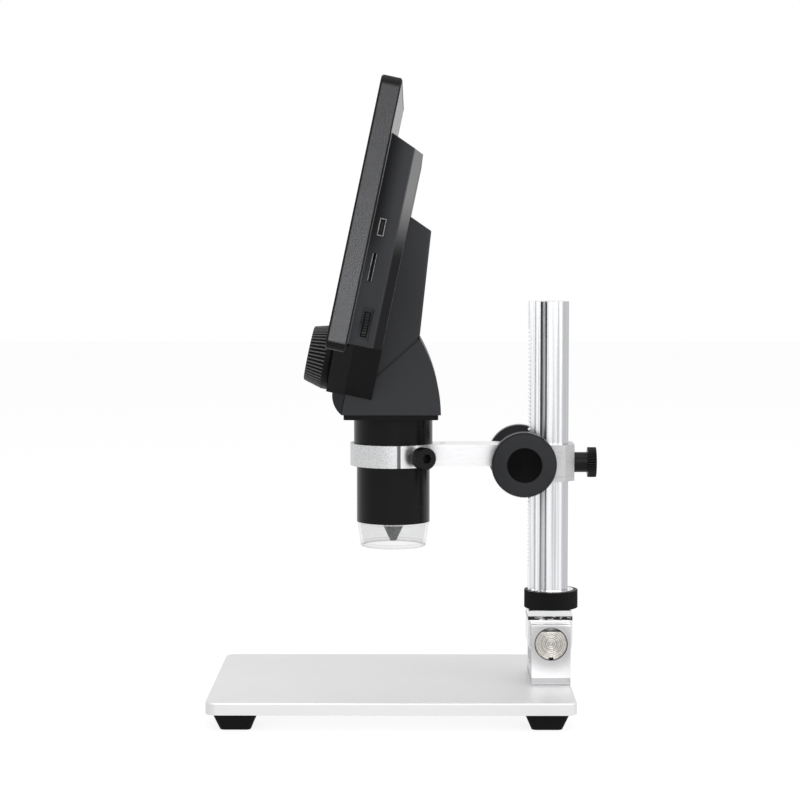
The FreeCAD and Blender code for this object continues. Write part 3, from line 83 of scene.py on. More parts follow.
# %% Read the axes from the joints
joints = {joint["name"]: joint for joint in frame["joints"]}
pivot = Vector(joints["column_tilt"]["pos_m"])
barrel_axis = Vector(joints["head_swivel"]["pos_m"])
knob_axis = Vector(joints["focus_knobs_turn"]["pos_m"])
wheel_axis = Vector(joints["focus_wheel_turn"]["axis"]).normalized()
screen_tilt = math.atan2(-wheel_axis.z, wheel_axis.y)
print("the screen leans back", round(math.degrees(screen_tilt), 1), "degrees")

# %% [markdown]
# ## A small language for shaders
#
# A shader is a graph of nodes. Written out link by link it hides what it means, so one small
# class wraps a socket and turns + - * into Math nodes. After that a scratch is one line of
# arithmetic. The reflected forms are there too, so that 1 - mask works.

# %% A socket that can do sums
class Socket:
    """An output of a node, with arithmetic."""

    def __init__(self, paint, socket):
        self.paint = paint
        self.socket = socket

    def math(self, operation, first, second):
        return self.paint.node("ShaderNodeMath", {"operation": operation}, {0: first, 1: second})

    def at_most(self, limit):
        return self.math("MINIMUM", self, limit)

    def __add__(self, other):
        return self.math("ADD", self, other)

    def __radd__(self, other):
        return self.math("ADD", other, self)

    def __sub__(self, other):
        return self.math("SUBTRACT", self, other)

    def __rsub__(self, other):
        return self.math("SUBTRACT", other, self)

    def __mul__(self, other):
        return self.math("MULTIPLY", self, other)

    def __rmul__(self, other):
        return self.math("MULTIPLY", other, self)

    def between(self, low, high, to_low=0.0, to_high=1.0):
        """This value, carried smoothly from one range to another and held at its ends."""
        return self.paint.node("ShaderNodeMapRange", {"interpolation_type": "SMOOTHSTEP"},
                               {"Value": self, "From Min": low, "From Max": high,
                                "To Min": to_low, "To Max": to_high})


print("sums on sockets: + - * at_most between")

# %% [markdown]
# ## A material under construction
#
# One method adds any node from its type, its settings and its inputs. The others only name the
# few nodes that every finish here is made of: a place, a noise, a mix, a bump and a surface. The
# same class builds the world, which is a tree of nodes too.

# %% The paint class
def tint(value):
    """A colour given as three numbers gets its fourth."""
    return (*value, 1.0) if isinstance(value, tuple) and len(value) == 3 else value


class Paint:
    """A material or a world under construction."""

    def __init__(self, name, kind=bpy.data.materials):
        self.made = kind.new(name)
        self.made.use_nodes = True
        self.tree = self.made.node_tree
        self.tree.nodes.clear()

    def node(self, kind, settings=None, inputs=None, output=0):
        made = self.tree.nodes.new(kind)
        for key, value in (settings or {}).items():
            setattr(made, key, value)
        for key, value in (inputs or {}).items():
            if isinstance(value, Socket):
                self.tree.links.new(value.socket, made.inputs[key])
            else:
                made.inputs[key].default_value = value
        return Socket(self, made.outputs[output]) if made.outputs else None

    def place(self):
        """Object coordinates, in metres."""
        return self.node("ShaderNodeTexCoord", output="Object")

    def parts(self, vector):
        split = self.node("ShaderNodeSeparateXYZ", inputs={0: vector})
        return [Socket(self, out) for out in split.socket.node.outputs]

    def mapped(self, vector, location=(0, 0, 0), rotation=(0, 0, 0), scale=(1, 1, 1)):
        return self.node("ShaderNodeMapping", {"vector_type": "TEXTURE"},
                         {"Vector": vector, "Location": location, "Rotation": rotation, "Scale": scale})

    def noise(self, vector, scale, detail=3.0, roughness=0.55):
        return self.node("ShaderNodeTexNoise", inputs={"Vector": vector, "Scale": scale, "Detail": detail,
                                                       "Roughness": roughness})

    def mix(self, first, second, factor):
        return self.node("ShaderNodeMix", {"data_type": "RGBA"},
                         {0: factor, 6: tint(first), 7: tint(second)}, output=2)

    def root(self, value):
        return self.node("ShaderNodeMath", {"operation": "SQRT"}, {0: value})

    def size(self, value):
        return self.node("ShaderNodeMath", {"operation": "ABSOLUTE"}, {0: value})

    def wave(self, value, pitch):
        """A sine of a length, one turn to each pitch."""
        return self.node("ShaderNodeMath", {"operation": "SINE"}, {0: value * (2 * math.pi / pitch)})

    def bump(self, height, distance):
        """A normal from a height in 0 to 1 and the distance, in metres, that 1 stands for."""
        return self.node("ShaderNodeBump", inputs={"Height": height, "Distance": distance, "Strength": 1.0})

    def seen(self):
        """1 where a ray comes from the camera, a mirror or a clear piece, and 0 where it lights."""
        rays = self.node("ShaderNodeLightPath").socket.node.outputs
        camera, mirror, clear = (Socket(self, rays["Is " + kind + " Ray"]) for kind in
                                 ("Camera", "Glossy", "Transmission"))
        return (camera + mirror + clear).at_most(1.0)

    def finish(self, shader, output="ShaderNodeOutputMaterial"):
        self.node(output, inputs={"Surface": shader})
        return self.made

    def surface(self, **sockets):
        """A Principled surface; underscores in the names stand for spaces."""
        named = {key.replace("_", " "): tint(value) for key, value in sockets.items()}
        return self.node("ShaderNodeBsdfPrincipled", inputs=named)


print("a mid grey for a socket:", tint((0.5, 0.5, 0.5)))

# %% [markdown]
# ## Metals
#
# Polished and brushed aluminium differ only in how the surface is scratched. The base plate is
# anodised: a fine even grain, rough and pale. The machined arm and bracket show faint tool
# marks. The column is drawn through a die, so its scratches run along it. Each finish is noise
# stretched along the direction of its scratches, feeding roughness and a very shallow bump.

# %% Aluminium, steel and brass
def shades(base, spread):
    """A darker and a lighter version of a colour."""
    return tuple(c * (1 - spread) for c in base), tuple(min(1.0, c * (1 + spread)) for c in base)


def grained_metal(name, base, rough, grain, scale, depth, spread=0.06, streaks=0.0):
    """Bare or anodised metal: noise stretched by the grain vector, with broader streaks if asked."""
    paint = Paint(name)
    place = paint.place()
    lines = paint.noise(paint.mapped(place, scale=grain), scale, 4.0, 0.65)
    cloud = paint.noise(place, 45.0, 2.0)
    dark, pale = shades(base, spread)
    colour = paint.mix(dark, pale, lines * 0.6 + cloud * 0.4)
    if streaks:
        broad = paint.noise(paint.mapped(place, scale=grain), scale * 0.28, 3.0, 0.7)
        colour = paint.mix(colour, tuple(c * (1 - streaks) for c in base), broad.between(0.50, 0.72))
    roughness = rough + (lines - 0.5) * (rough * 0.5) + (cloud - 0.5) * 0.06
    return paint.finish(paint.surface(Base_Color=colour, Metallic=1.0, Roughness=roughness,
                                      Normal=paint.bump(lines, depth)))


plate_finish = grained_metal("satin_anodised_plate", (0.71, 0.71, 0.715), 0.52, (1, 3, 1), 3200.0, 0.000020)
machined_finish = grained_metal("machined_aluminium", (0.50, 0.50, 0.505), 0.34, (9, 9, 1), 2600.0, 0.000012,
                                spread=0.10, streaks=0.18)
steel_finish = grained_metal("bright_steel", (0.56, 0.56, 0.57), 0.28, (3, 3, 1), 3000.0, 0.000005)
brass_finish = grained_metal("machined_brass", (0.76, 0.57, 0.26), 0.30, (3, 3, 1), 3000.0, 0.000005)
print("metals:", [finish.name for finish in (plate_finish, machined_finish, steel_finish, brass_finish)])

# %% [markdown]
# ## The bracket
#
# The bracket is milled from a block. A dark ring round the bolt is painted shade in the recess of its bore,
# and the colour darkens towards the bore. A mask for them needs only the distance from the pivot, which the
# frame's joint gives. A band near the base is darker.

# %% The milled bracket
BORE_SHADE_RING = (7.0 * MM, 7.2 * MM, 7.45 * MM, 7.85 * MM)
LOW_DARK_BAND = (13.4 * MM, 13.7 * MM, 16.1 * MM, 16.4 * MM)


def from_axis(paint, place, axis):
    """The distance from an axis that runs along X."""
    _, y, z = paint.parts(place)
    dy = y - axis.y
    dz = z - axis.z
    return paint.root(dy * dy + dz * dz)


def within(value, edges):
    """1 between the two inner edges of four, 0 outside the two outer ones."""
    return value.between(edges[0], edges[1]) * (1 - value.between(edges[2], edges[3]))


def milled_bracket():
    """A painted shade ring round the bore, a darker colour towards it, and a darker band near the base."""
    paint = Paint("milled_bracket")
    place = paint.place()
    radius = from_axis(paint, place, pivot)
    height = paint.parts(place)[2]
    brush = paint.noise(paint.mapped(place, scale=(1, 9, 1)), 2400.0, 4.0, 0.65)
    cloud = paint.noise(place, 120.0, 2.0)
    ring = within(radius, BORE_SHADE_RING)
    band = within(height, LOW_DARK_BAND)
    near = 1 - radius.between(8 * MM, 16 * MM)
    colour = paint.mix((0.84, 0.84, 0.85), (0.42, 0.42, 0.42), near * 0.7 + brush * 0.3)
    colour = paint.mix(colour, (0.36, 0.36, 0.365), band * 0.8)
    # painted shade: a dark ring in the recess of the bore round the bolt
    colour = paint.mix(colour, (0.012, 0.012, 0.012), ring)
    return paint.finish(paint.surface(Base_Color=colour, Metallic=1.0,
                                      Roughness=0.34 + (brush - 0.5) * 0.2 + (cloud - 0.5) * 0.08,
                                      Normal=paint.bump(brush, 0.000010)))


bracket_finish = milled_bracket()
print(bracket_finish.name, "nodes:", len(bracket_finish.node_tree.nodes))

# %% [markdown]
# ## The column's foot
#
# The foot is nearly polished, and the dark collar above it is painted into its colour as a ragged band, a
# painted reflection. A real mirror image would show only from one side; this painted one shows from every
# side. A coarse noise, cut hard, decides where along the band it is dark.

# %% The milled foot
PAINTED_REFLECTION_BAND = (41.9 * MM, 42.3 * MM, 43.6 * MM, 44.2 * MM)


def milled_foot():
    """Bright brushing with a ragged painted reflection of the collar in a band."""
    paint = Paint("milled_foot")
    place = paint.place()
    brush = paint.noise(paint.mapped(place, scale=(1, 12, 1)), 2200.0, 4.0, 0.65)
    ragged = paint.noise(paint.mapped(place, scale=(1, 3, 1)), 420.0, 4.0, 0.8)
    band = within(paint.parts(place)[2], PAINTED_REFLECTION_BAND)
    colour = paint.mix((0.62, 0.62, 0.63), (0.84, 0.84, 0.85), brush)
    # painted reflection: the dark collar above, as a ragged band
    colour = paint.mix(colour, (0.02, 0.02, 0.02), band * ragged.between(0.33, 0.45))
    return paint.finish(paint.surface(Base_Color=colour, Metallic=1.0, Roughness=0.26 + (brush - 0.5) * 0.2,
                                      Normal=paint.bump(brush, 0.000008)))


foot_finish = milled_foot()
print(foot_finish.name, "is dark in a band at", [round(edge / MM, 1) for edge in PAINTED_REFLECTION_BAND], "mm")

# %% [markdown]
# ## The arm and its ring
#
# The arm is brushed along its length and bright. The ring round the barrel was blasted before it
# was clamped, so it is greyer and grainier as far as a small groove that marks the joint. Both
# are one piece of the frame, so one finish holds both and tells them apart by place.

# %% The brushed arm
RING_GROOVE = barrel_axis.y + 2.7 * MM


def brushed_arm():
    """Bright brushing on the arm and grey grit on its ring."""
    paint = Paint("brushed_arm")
    place = paint.place()
    x, y, _ = paint.parts(place)
    brush = paint.noise(paint.mapped(place, scale=(12, 12, 1)), 2200.0, 4.0, 0.65)
    grit = paint.noise(place, 1400.0, 4.0, 0.7)
    ring = 1 - y.between(RING_GROOVE + 0.7 * MM, RING_GROOVE + 1.1 * MM)
    groove = x.between(15 * MM, 16 * MM) * (1 - paint.size(y - RING_GROOVE).between(0.65 * MM, 0.90 * MM))
    bright = paint.mix((0.74, 0.74, 0.75), (0.87, 0.87, 0.88), brush)
    grey = paint.mix((0.50, 0.505, 0.51), (0.70, 0.705, 0.71), grit.between(0.30, 0.68))
    colour = paint.mix(paint.mix(bright, grey, ring), (0.14, 0.14, 0.14), groove)
    return paint.finish(paint.surface(Base_Color=colour, Metallic=1.0,
                                      Roughness=0.30 + ring * 0.10 + (brush - 0.5) * 0.14,
                                      Normal=paint.bump(brush + grit, 0.000010)))


arm_finish = brushed_arm()
print("the ring's groove is at y =", round(RING_GROOVE / MM, 2), "mm")

# %% [markdown]
# ## The drawn column
#
# The column is drawn through a die, so every line on it runs from end to end. Its noise is stretched along Z
# many times over. The flute beside the rack is painted dark as painted shade, more so towards the top, and
# the sawn end has no lines at all.

# %% The drawn column
column_low, column_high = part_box("column")
FLUTE_Y = column_low.y + 5.0 * MM
FLUTE_EDGES = tuple(FLUTE_Y + offset * MM for offset in (-0.2, 0.2, 0.6, 3.8))
FLUTE_SHADE_FADES = (80 * MM, 125 * MM)


def drawn_column():
    """Streaks along Z, with painted shade in the flute beside the rack."""
    paint = Paint("drawn_column")
    place = paint.place()
    _, y, z = paint.parts(place)
    fine = paint.noise(paint.mapped(place, scale=(1, 1, 60)), 2600.0, 4.0, 0.7)
    broad = paint.noise(paint.mapped(place, scale=(1, 1, 220)), 900.0, 3.0, 0.7)
    grit = paint.noise(paint.mapped(place, scale=(1, 1, 26)), 1700.0, 4.0, 0.75)
    flute_shade = within(y, FLUTE_EDGES) * z.between(*FLUTE_SHADE_FADES, 0.55, 1.0)
    line = 1 - paint.size(y - FLUTE_Y + 2.0 * MM).between(0.15 * MM, 0.40 * MM)
    rear = y.between(column_high.y - 3.3 * MM, column_high.y - 2.9 * MM)
    colour = paint.mix((0.84, 0.85, 0.87), (0.50, 0.505, 0.515), broad.between(0.46, 0.66))
    colour = paint.mix(colour, (0.34, 0.34, 0.345), line * 0.6)
    colour = paint.mix(colour, (0.46, 0.46, 0.475), rear * (0.55 + fine * 0.5))
    # painted shade in the hollow of the flute, deeper towards the top
    colour = paint.mix(colour, (0.06, 0.065, 0.07), flute_shade * grit.between(0.10, 0.50, 0.6, 1.0))
    sawn = z.between(column_high.z - 0.10 * MM, column_high.z - 0.02 * MM)
    colour = paint.mix(colour, (0.60, 0.605, 0.615), sawn)
    roughness = 0.22 + (fine - 0.5) * 0.16 + flute_shade * 0.16
    return paint.finish(paint.surface(Base_Color=colour, Metallic=1.0, Roughness=roughness,
                                      Normal=paint.bump(fine, 0.000010)))


column_finish = drawn_column()
print("the column is", round((column_high.z - column_low.z) / MM, 1), "mm long")

# %% [markdown]
# ## The pivot's faced end
#
# A lathe tool leaves rings round the axis of what it faces. A sine of the distance from the pivot
# gives such rings at any pitch, and two pitches together look less like a target.

# %% Turned chrome
TOOL_PITCH = 0.9 * MM
POLISH_PITCH = 0.30 * MM


def turned_chrome():
    """The pivot's faced end: rings about its axis, cut by a lathe tool and plated."""
    paint = Paint("turned_chrome")
    place = paint.place()
    radius = from_axis(paint, place, pivot)
    rings = paint.wave(radius, TOOL_PITCH)
    fine = paint.wave(radius, POLISH_PITCH)
    wear = paint.noise(place, 700.0, 3.0)
    colour = paint.mix((0.30, 0.285, 0.26), (0.74, 0.72, 0.68), rings * 0.24 + fine * 0.1 + wear * 0.6 + 0.1)
    roughness = 0.20 + wear * 0.12
    return paint.finish(paint.surface(Base_Color=colour, Metallic=1.0, Roughness=roughness,
                                      Normal=paint.bump(rings + fine, 0.00002)))


chrome_finish = turned_chrome()
print(chrome_finish.name, "rings every", round(TOOL_PITCH / MM, 2), "mm")

# %% [markdown]
# ## The sockets
#
# Only the folded lip of a socket meets the light. Its inside is a deep slot in shade, so the colour goes from
# tinned metal at the mouth to a painted shade, nearly black, a little way in.

# %% Tinned sockets
socket_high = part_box("usb_socket")[1]


def tinned_socket():
    paint = Paint("tinned_socket")
    place = paint.place()
    lip = paint.parts(place)[0].between(socket_high.x - 0.16 * MM, socket_high.x - 0.06 * MM)
    tin = paint.noise(place, 1800.0, 3.0)
    # painted shade: nearly black a little way inside the mouth
    colour = paint.mix((0.012, 0.012, 0.013), (0.30, 0.30, 0.31), lip * tin.between(0.2, 0.7))
    return paint.finish(paint.surface(Base_Color=colour, Metallic=0.7, Roughness=0.42 + (tin - 0.5) * 0.2))


socket_finish = tinned_socket()
print("the sockets' mouths are at x =", round(socket_high.x / MM, 2), "mm")

# %% [markdown]
# ## Blacks
#
# Black is never one colour. Anodised metal is a deep neutral black with a tight sheen. Moulded
# plastic is a blue-grey black with a spark-eroded texture that scatters light, so it looks
# lighter where the light grazes it. Rubber is duller than both and picks up dust.

# %% Black anodised metal
def anodised_black(name, base, rough, grain, shine):
    paint = Paint(name)
    place = paint.place()
    lines = paint.noise(paint.mapped(place, scale=grain), 2600.0, 3.0)
    cloud = paint.noise(place, 60.0, 2.0)
    dark, pale = shades(base, 0.3)
    roughness = rough + (lines - 0.5) * 0.12 + (cloud - 0.5) * 0.05
    return paint.finish(paint.surface(Base_Color=paint.mix(dark, pale, cloud), Roughness=roughness,
                                      Specular_IOR_Level=shine, Normal=paint.bump(lines, 0.000003)))


barrel_finish = anodised_black("anodised_barrel", (0.0030, 0.0030, 0.0034), 0.26, (6, 6, 1), 0.14)
collar_finish = anodised_black("anodised_collar", (0.0035, 0.0035, 0.0035), 0.42, (1, 1, 3), 0.12)
screw_finish = anodised_black("black_thumbscrew", (0.0045, 0.0045, 0.005), 0.36, (3, 3, 3), 0.14)
print("anodised:", [finish.name for finish in (barrel_finish, collar_finish, screw_finish)])

# %% [markdown]
# ## The knobs' faces
#
# Each knob has a matt cone round a darker, polished dish. Both knobs share one axis, so the same
# distance from it parts the two, and a fine sine of that distance is the lathe's feed.

# %% Knobs, turned and then anodised
CONE_RING = (7.7 * MM, 8.2 * MM, 14.0 * MM, 14.6 * MM)
FEED_PITCH = 0.25 * MM


def turned_knob():
    """A matt cone round a darker, polished dish."""
    paint = Paint("turned_knob")
    place = paint.place()
    radius = from_axis(paint, place, knob_axis)
    cone = within(radius, CONE_RING)
    tool = paint.wave(radius, FEED_PITCH)
    cloud = paint.noise(place, 90.0, 3.0)
    colour = paint.mix((0.0006, 0.0006, 0.0008), (0.029, 0.0295, 0.032), cone * (0.75 + cloud * 0.5))
    roughness = 0.34 + cone * 0.14 + (cloud - 0.5) * 0.06
    return paint.finish(paint.surface(Base_Color=colour, Roughness=roughness, Specular_IOR_Level=0.05,
                                      Normal=paint.bump(tool, 0.000006)))


knob_finish = turned_knob()
print("the knobs turn about y, z =", round(knob_axis.y / MM, 2), round(knob_axis.z / MM, 2), "mm")

# %% [markdown]
# ## Moulded plastics and rubber
#
# A mould is spark-eroded to hide flow marks, which leaves a pebbled skin. One recipe covers all
# of the small mouldings: pebbles that shade both colour and roughness, over a slow change of
# tone. Only the sizes of the numbers differ from a button to a rubber foot.

# %% Moulded plastics
def moulded(name, base, rough, texture, depth, speck=0.10, shine=0.22):
    """Textured moulding: a fine pebble bump over slow changes of tone."""
    paint = Paint(name)
    place = paint.place()
    pebble = paint.noise(place, texture, 3.0, 0.6)
    cloud = paint.noise(place, 30.0, 2.0)
    dark, pale = shades(base, speck)
    colour = paint.mix(dark, pale, pebble * 0.6 + cloud * 0.4)
    roughness = rough + (pebble - 0.5) * 0.12 + (cloud - 0.5) * 0.04
    return paint.finish(paint.surface(Base_Color=colour, Roughness=roughness, Specular_IOR_Level=shine,
                                      Normal=paint.bump(pebble, depth)))


dimmer_finish = moulded("thumbwheel_moulding", (0.006, 0.006, 0.0065), 0.34, 3000.0, 0.000008)
button_finish = moulded("button_moulding", (0.012, 0.012, 0.013), 0.40, 3000.0, 0.000010)
rubber_finish = moulded("foot_rubber", (0.004, 0.004, 0.0042), 0.75, 1800.0, 0.000060, 0.25, 0.12)
flange_finish = moulded("flange_moulding", (0.003, 0.003, 0.0034), 0.42, 2600.0, 0.000012, shine=0.10)
panel_finish = moulded("panel_back", (0.028, 0.029, 0.033), 0.30, 3000.0, 0.000004)
print("mouldings:", [finish.name for finish in (dimmer_finish, button_finish, rubber_finish, flange_finish,
                                                panel_finish)])

# %% [markdown]
# ## The housing's tones, with painted light and shade
#
# The screen's frame is a coarser moulding than the shell behind it. Its outer sides are painted paler as
# painted light, and darker towards the top as painted shade; its corners keep the black of the moulding, so
# they read as thin black lines. Both masks follow the screen's own plane. A Mapping node turns the
# coordinates by the screen's tilt, and after that x is across, y is the depth behind the glass and z is the
# height up the screen.

# %% The screen's own plane
SCREEN_ORIGIN = Vector((0.0, -33.95 * MM, 171.9 * MM))


def on_screen(paint, place):
    """Across, behind the glass, and up the screen from its lower edge."""
    return paint.parts(paint.mapped(place, location=SCREEN_ORIGIN, rotation=(-screen_tilt, 0, 0)))


print("the screen's lower edge is at z =", round(SCREEN_ORIGIN.z / MM, 1), "mm")

# %% The screen's frame
FRAME_SIDE = (0.7 * MM, 1.1 * MM, 8.1 * MM, 8.5 * MM)
FRAME_RISE = (3.2 * MM, 4.4 * MM, 112.8 * MM, 114.4 * MM)
PARTING_LINE = 11.5 * MM


def parting_seam(paint, depth):
    """The thin gap where the front and rear mouldings meet."""
    return 1 - paint.size(depth - PARTING_LINE).between(0.10 * MM, 0.30 * MM)


def frame_moulding():
    """Pebbled sides painted pale as painted light and darker towards the top as painted shade, between black
    edges; the neck below is plainer.
    """
    paint = Paint("screen_frame_moulding")
    place = paint.place()
    x, depth, height = on_screen(paint, place)
    pebble = paint.noise(place, 2300.0, 4.0, 0.65)
    cloud = paint.noise(place, 35.0, 3.0)
    outer = paint.size(x).between(91.5 * MM, 92.4 * MM)
    side = within(depth, FRAME_SIDE) * within(height, FRAME_RISE) * outer
    rise = 1 - height.between(10 * MM, 125 * MM) * 0.5
    # painted light: the pale pebbled colour of the frame's outer sides
    skin = paint.mix((0.046, 0.046, 0.048), (0.190, 0.192, 0.199), pebble.between(0.30, 0.72))
    # painted shade: those sides darken towards the top
    skin = paint.mix((0.02, 0.02, 0.021), skin, rise * (0.8 + cloud * 0.3))
    body = paint.mix((0.0028, 0.0028, 0.003), (0.006, 0.006, 0.0066), pebble)
    neck = 1 - paint.size(x).between(24.6 * MM, 25.0 * MM)
    under = 1 - height.between(-1.0 * MM, 1.0 * MM)
    body = paint.mix(body, (0.016, 0.0165, 0.018), neck * under)
    body = paint.mix(body, (0.0008, 0.0008, 0.001), parting_seam(paint, depth) * under)
    colour = paint.mix(body, skin, side)
    roughness = 0.40 + side * 0.16 + (pebble - 0.5) * 0.12
    return paint.finish(paint.surface(Base_Color=colour, Roughness=roughness, Specular_IOR_Level=0.12,
                                      Normal=paint.bump(pebble, 0.000045)))


frame_finish = frame_moulding()
print(frame_finish.name, "nodes:", len(frame_finish.node_tree.nodes))

# %% [markdown]
# ## The rear shell
#
# The shell has three parts with a tone each: the raised back, the neck with its hood behind it, and the chin
# under the screen, painted nearly black as the painted shadow of the screen above it. The raised back has
# painted shade that darkens it towards the screen, most of all at the top, its corner is polished and catches
# the light in its upper half, and the rim behind the screen is glossy. Gloss that changes over a surface is a
# coat whose weight changes, because the coat's own roughness and index have to stay constant.

# %% The rear shell
NECK_HALF_WIDTH = (24.7 * MM, 25.0 * MM)
BACK_RIM = (8.7 * MM, 8.88 * MM, 9.0 * MM, 9.3 * MM)
CORNER_WIDTH = (75.3 * MM, 75.7 * MM)


def shell_moulding():
    """One tone to each part, painted shade on the raised back, a painted shadow on the chin, a dark seam, and
    gloss on the corner and the rim.
    """
    paint = Paint("shell_moulding")
    place = paint.place()
    x, depth, height = on_screen(paint, place)
    pebble = paint.noise(place, 2600.0, 4.0, 0.65)
    cloud = paint.noise(place, 28.0, 3.0)
    chin = 1 - height.between(2.4 * MM, 4.0 * MM)
    narrow = 1 - paint.size(x).between(*NECK_HALF_WIDTH)
    behind = depth.between(23.9 * MM, 24.6 * MM)
    corner = depth.between(19.6 * MM, 20.4 * MM) * paint.size(x).between(*CORNER_WIDTH)
    gloss = within(depth, BACK_RIM) * 0.45 + corner * height.between(42 * MM, 72 * MM)
    up = height.between(25 * MM, 60 * MM)
    rearward = depth.between(9 * MM, 18 * MM)
    # painted shade: the raised back darkens towards the screen, most of all at the top
    tone = 1.05 - rearward * 0.2 + up * (rearward * 1.1 - 1.03)
    tier = paint.mix((0.002, 0.002, 0.0025), (0.036, 0.037, 0.041), tone * (0.75 + cloud * 0.5))
    tier = paint.mix(tier, (0.004, 0.004, 0.0045), corner)
    hood = paint.mix((0.024, 0.0245, 0.027), (0.039, 0.040, 0.044), pebble * 0.5 + cloud * 0.5)
    hood = paint.mix(hood, (0.048, 0.049, 0.053), up * 0.5)
    own = (behind + chin * narrow).at_most(1.0)
    colour = paint.mix(tier, hood, own)
    # painted shadow: the chin under the screen is nearly black
    colour = paint.mix(colour, (0.0012, 0.0012, 0.0014), chin * (1 - own))
    colour = paint.mix(colour, (0.0008, 0.0008, 0.001), parting_seam(paint, depth) * chin)
    roughness = 0.46 + (pebble - 0.5) * 0.12 + (cloud - 0.5) * 0.05
    return paint.finish(paint.surface(Base_Color=colour, Roughness=roughness, Specular_IOR_Level=0.12,
                                      Coat_Weight=gloss.at_most(1.0), Coat_Roughness=0.16, Coat_IOR=2.7,
                                      Normal=paint.bump(pebble, 0.000025)))


housing_finish = shell_moulding()
print(housing_finish.name, "nodes:", len(housing_finish.node_tree.nodes))

# %% [markdown]
# ## The focus wheel's finish
#
# Fingers polish the crests of the ribs and leave the valleys dull, and the crests are painted bright as a
# painted highlight along each rib. The wheel narrows to the front, so a crest is known by its distance from
# the axis, less the cone's own radius there.

# %% Ribs worn at their crests
WHEEL_RISE = 8.33 * MM
CONE_RADIUS = 12.75 * MM
CONE_DEPTH = 8.75 * MM
CONE_SLOPE = 2.0 / 7.4


def ribbed_wheel():
    """Crests painted bright as a painted highlight, and smoother, over dull valleys."""
    paint = Paint("ribbed_wheel")
    place = paint.place()
    x, depth, height = on_screen(paint, place)
    rise = height + WHEEL_RISE
    radius = paint.root(x * x + rise * rise)
    crest = CONE_RADIUS + (depth + CONE_DEPTH) * CONE_SLOPE
    crest = (radius - crest).between(-0.55 * MM, -0.05 * MM) * (1 - depth.between(-1.4 * MM, -1.2 * MM))
    wear_and_highlight = paint.noise(place, 600.0, 3.0)
    # painted highlight along the crests, its brightness varied by the noise
    colour = paint.mix((0.0006, 0.0006, 0.0008), (0.105, 0.105, 0.108), crest * (0.55 + wear_and_highlight * 0.9))
    roughness = 0.42 - crest * 0.16 + (wear_and_highlight - 0.5) * 0.10
    return paint.finish(paint.surface(Base_Color=colour, Roughness=roughness, Specular_IOR_Level=0.14,
                                      Normal=paint.bump(wear_and_highlight, 0.000012)))


wheel_finish = ribbed_wheel()
print(wheel_finish.name, "narrows by", round(math.degrees(math.atan(CONE_SLOPE)), 1), "degrees")

# %% [markdown]
# ## Clear and glowing things
#
# The cap under the barrel is frosted, and the dark cone of the lens shows through it. Real
# frosting is refraction by a rough skin, which is slow and noisy, so here a part of each wall is
# simply clear, by Alpha, and its lips are more solid. The screen is a sheet of glass over a dark
# panel, and the lens has a faint coating.

# %% The frosted cap
cap_low, cap_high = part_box("light_cap")


def frosted_cap():
    paint = Paint("frosted_cap")
    place = paint.place()
    frost = paint.noise(place, 2400.0, 3.0)
    cloud = paint.noise(place, 120.0, 2.0)
    colour = paint.mix((0.46, 0.465, 0.47), (0.56, 0.565, 0.57), cloud)
    z = paint.parts(place)[2]
    ends = 1 - z.between(cap_low.z, cap_low.z + 1.2 * MM)
    ends = (ends + z.between(cap_high.z - 2.2 * MM, cap_high.z - 1.0 * MM)).at_most(1.0)
    lip = 1 - paint.size(z - cap_low.z - 1.7 * MM).between(0.15 * MM, 0.45 * MM)
    colour = paint.mix(colour, (0.80, 0.80, 0.80), ends)
    colour = paint.mix(colour, (0.36, 0.36, 0.36), lip)
    cover = 0.13 + ends * 0.42 + lip * 0.08 + (cloud - 0.5) * 0.05
    return paint.finish(paint.surface(Base_Color=colour, Roughness=0.40 + (frost - 0.5) * 0.2, Alpha=cover,
                                      Specular_IOR_Level=0.20, Normal=paint.bump(frost, 0.000015)))


cap_finish = frosted_cap()
print("the cap is", round((cap_high.z - cap_low.z) / MM, 1), "mm high")


# %% Screen glass and lens
def screen_glass():
    paint = Paint("screen_glass")
    smear = paint.noise(paint.mapped(paint.place(), scale=(3, 1, 1)), 40.0, 3.0)
    colour = paint.mix((0.004, 0.004, 0.005), (0.007, 0.007, 0.009), smear)
    return paint.finish(paint.surface(Base_Color=colour, Roughness=0.04 + smear * 0.06,
                                      Specular_IOR_Level=0.20, Coat_Weight=0.45, Coat_Roughness=0.02))


def lens_glass():
    paint = Paint("coated_lens")
    bloom = paint.noise(paint.place(), 400.0, 1.0)
    colour = paint.mix((0.10, 0.07, 0.16), (0.05, 0.12, 0.16), bloom)
    return paint.finish(paint.surface(Base_Color=colour, Roughness=0.05 + bloom * 0.03, Coat_Weight=1.0))


glass_finish = screen_glass()
lens_finish = lens_glass()
print("clear pieces:", glass_finish.name, "and", lens_finish.name)

# %% [markdown]
# ## Inside the head
#
# The inner pieces hardly show, but a part library keeps them, so they get their own finishes: a
# green board with copper traces, a foil cell, white lamps and dark chips. A trace is a thin slice
# through a stretched noise, which wanders the way a routed track does.

# %% Boards, cell and lamps
def circuit_board():
    """Copper traces under green solder mask."""
    paint = Paint("solder_mask")
    place = paint.place()
    along = paint.noise(paint.mapped(place, scale=(6, 1, 1)), 500.0, 1.0)
    across = paint.noise(paint.mapped(place, scale=(1, 1, 6)), 500.0, 1.0)
    trace = along.between(0.50, 0.53) * (1 - along.between(0.55, 0.58)) + across.between(0.52, 0.54) * 0.5
    colour = paint.mix((0.008, 0.075, 0.035), (0.03, 0.17, 0.07), trace.at_most(1.0))
    return paint.finish(paint.surface(Base_Color=colour, Roughness=0.36 + along * 0.1,
                                      Normal=paint.bump(trace, 0.00002)))


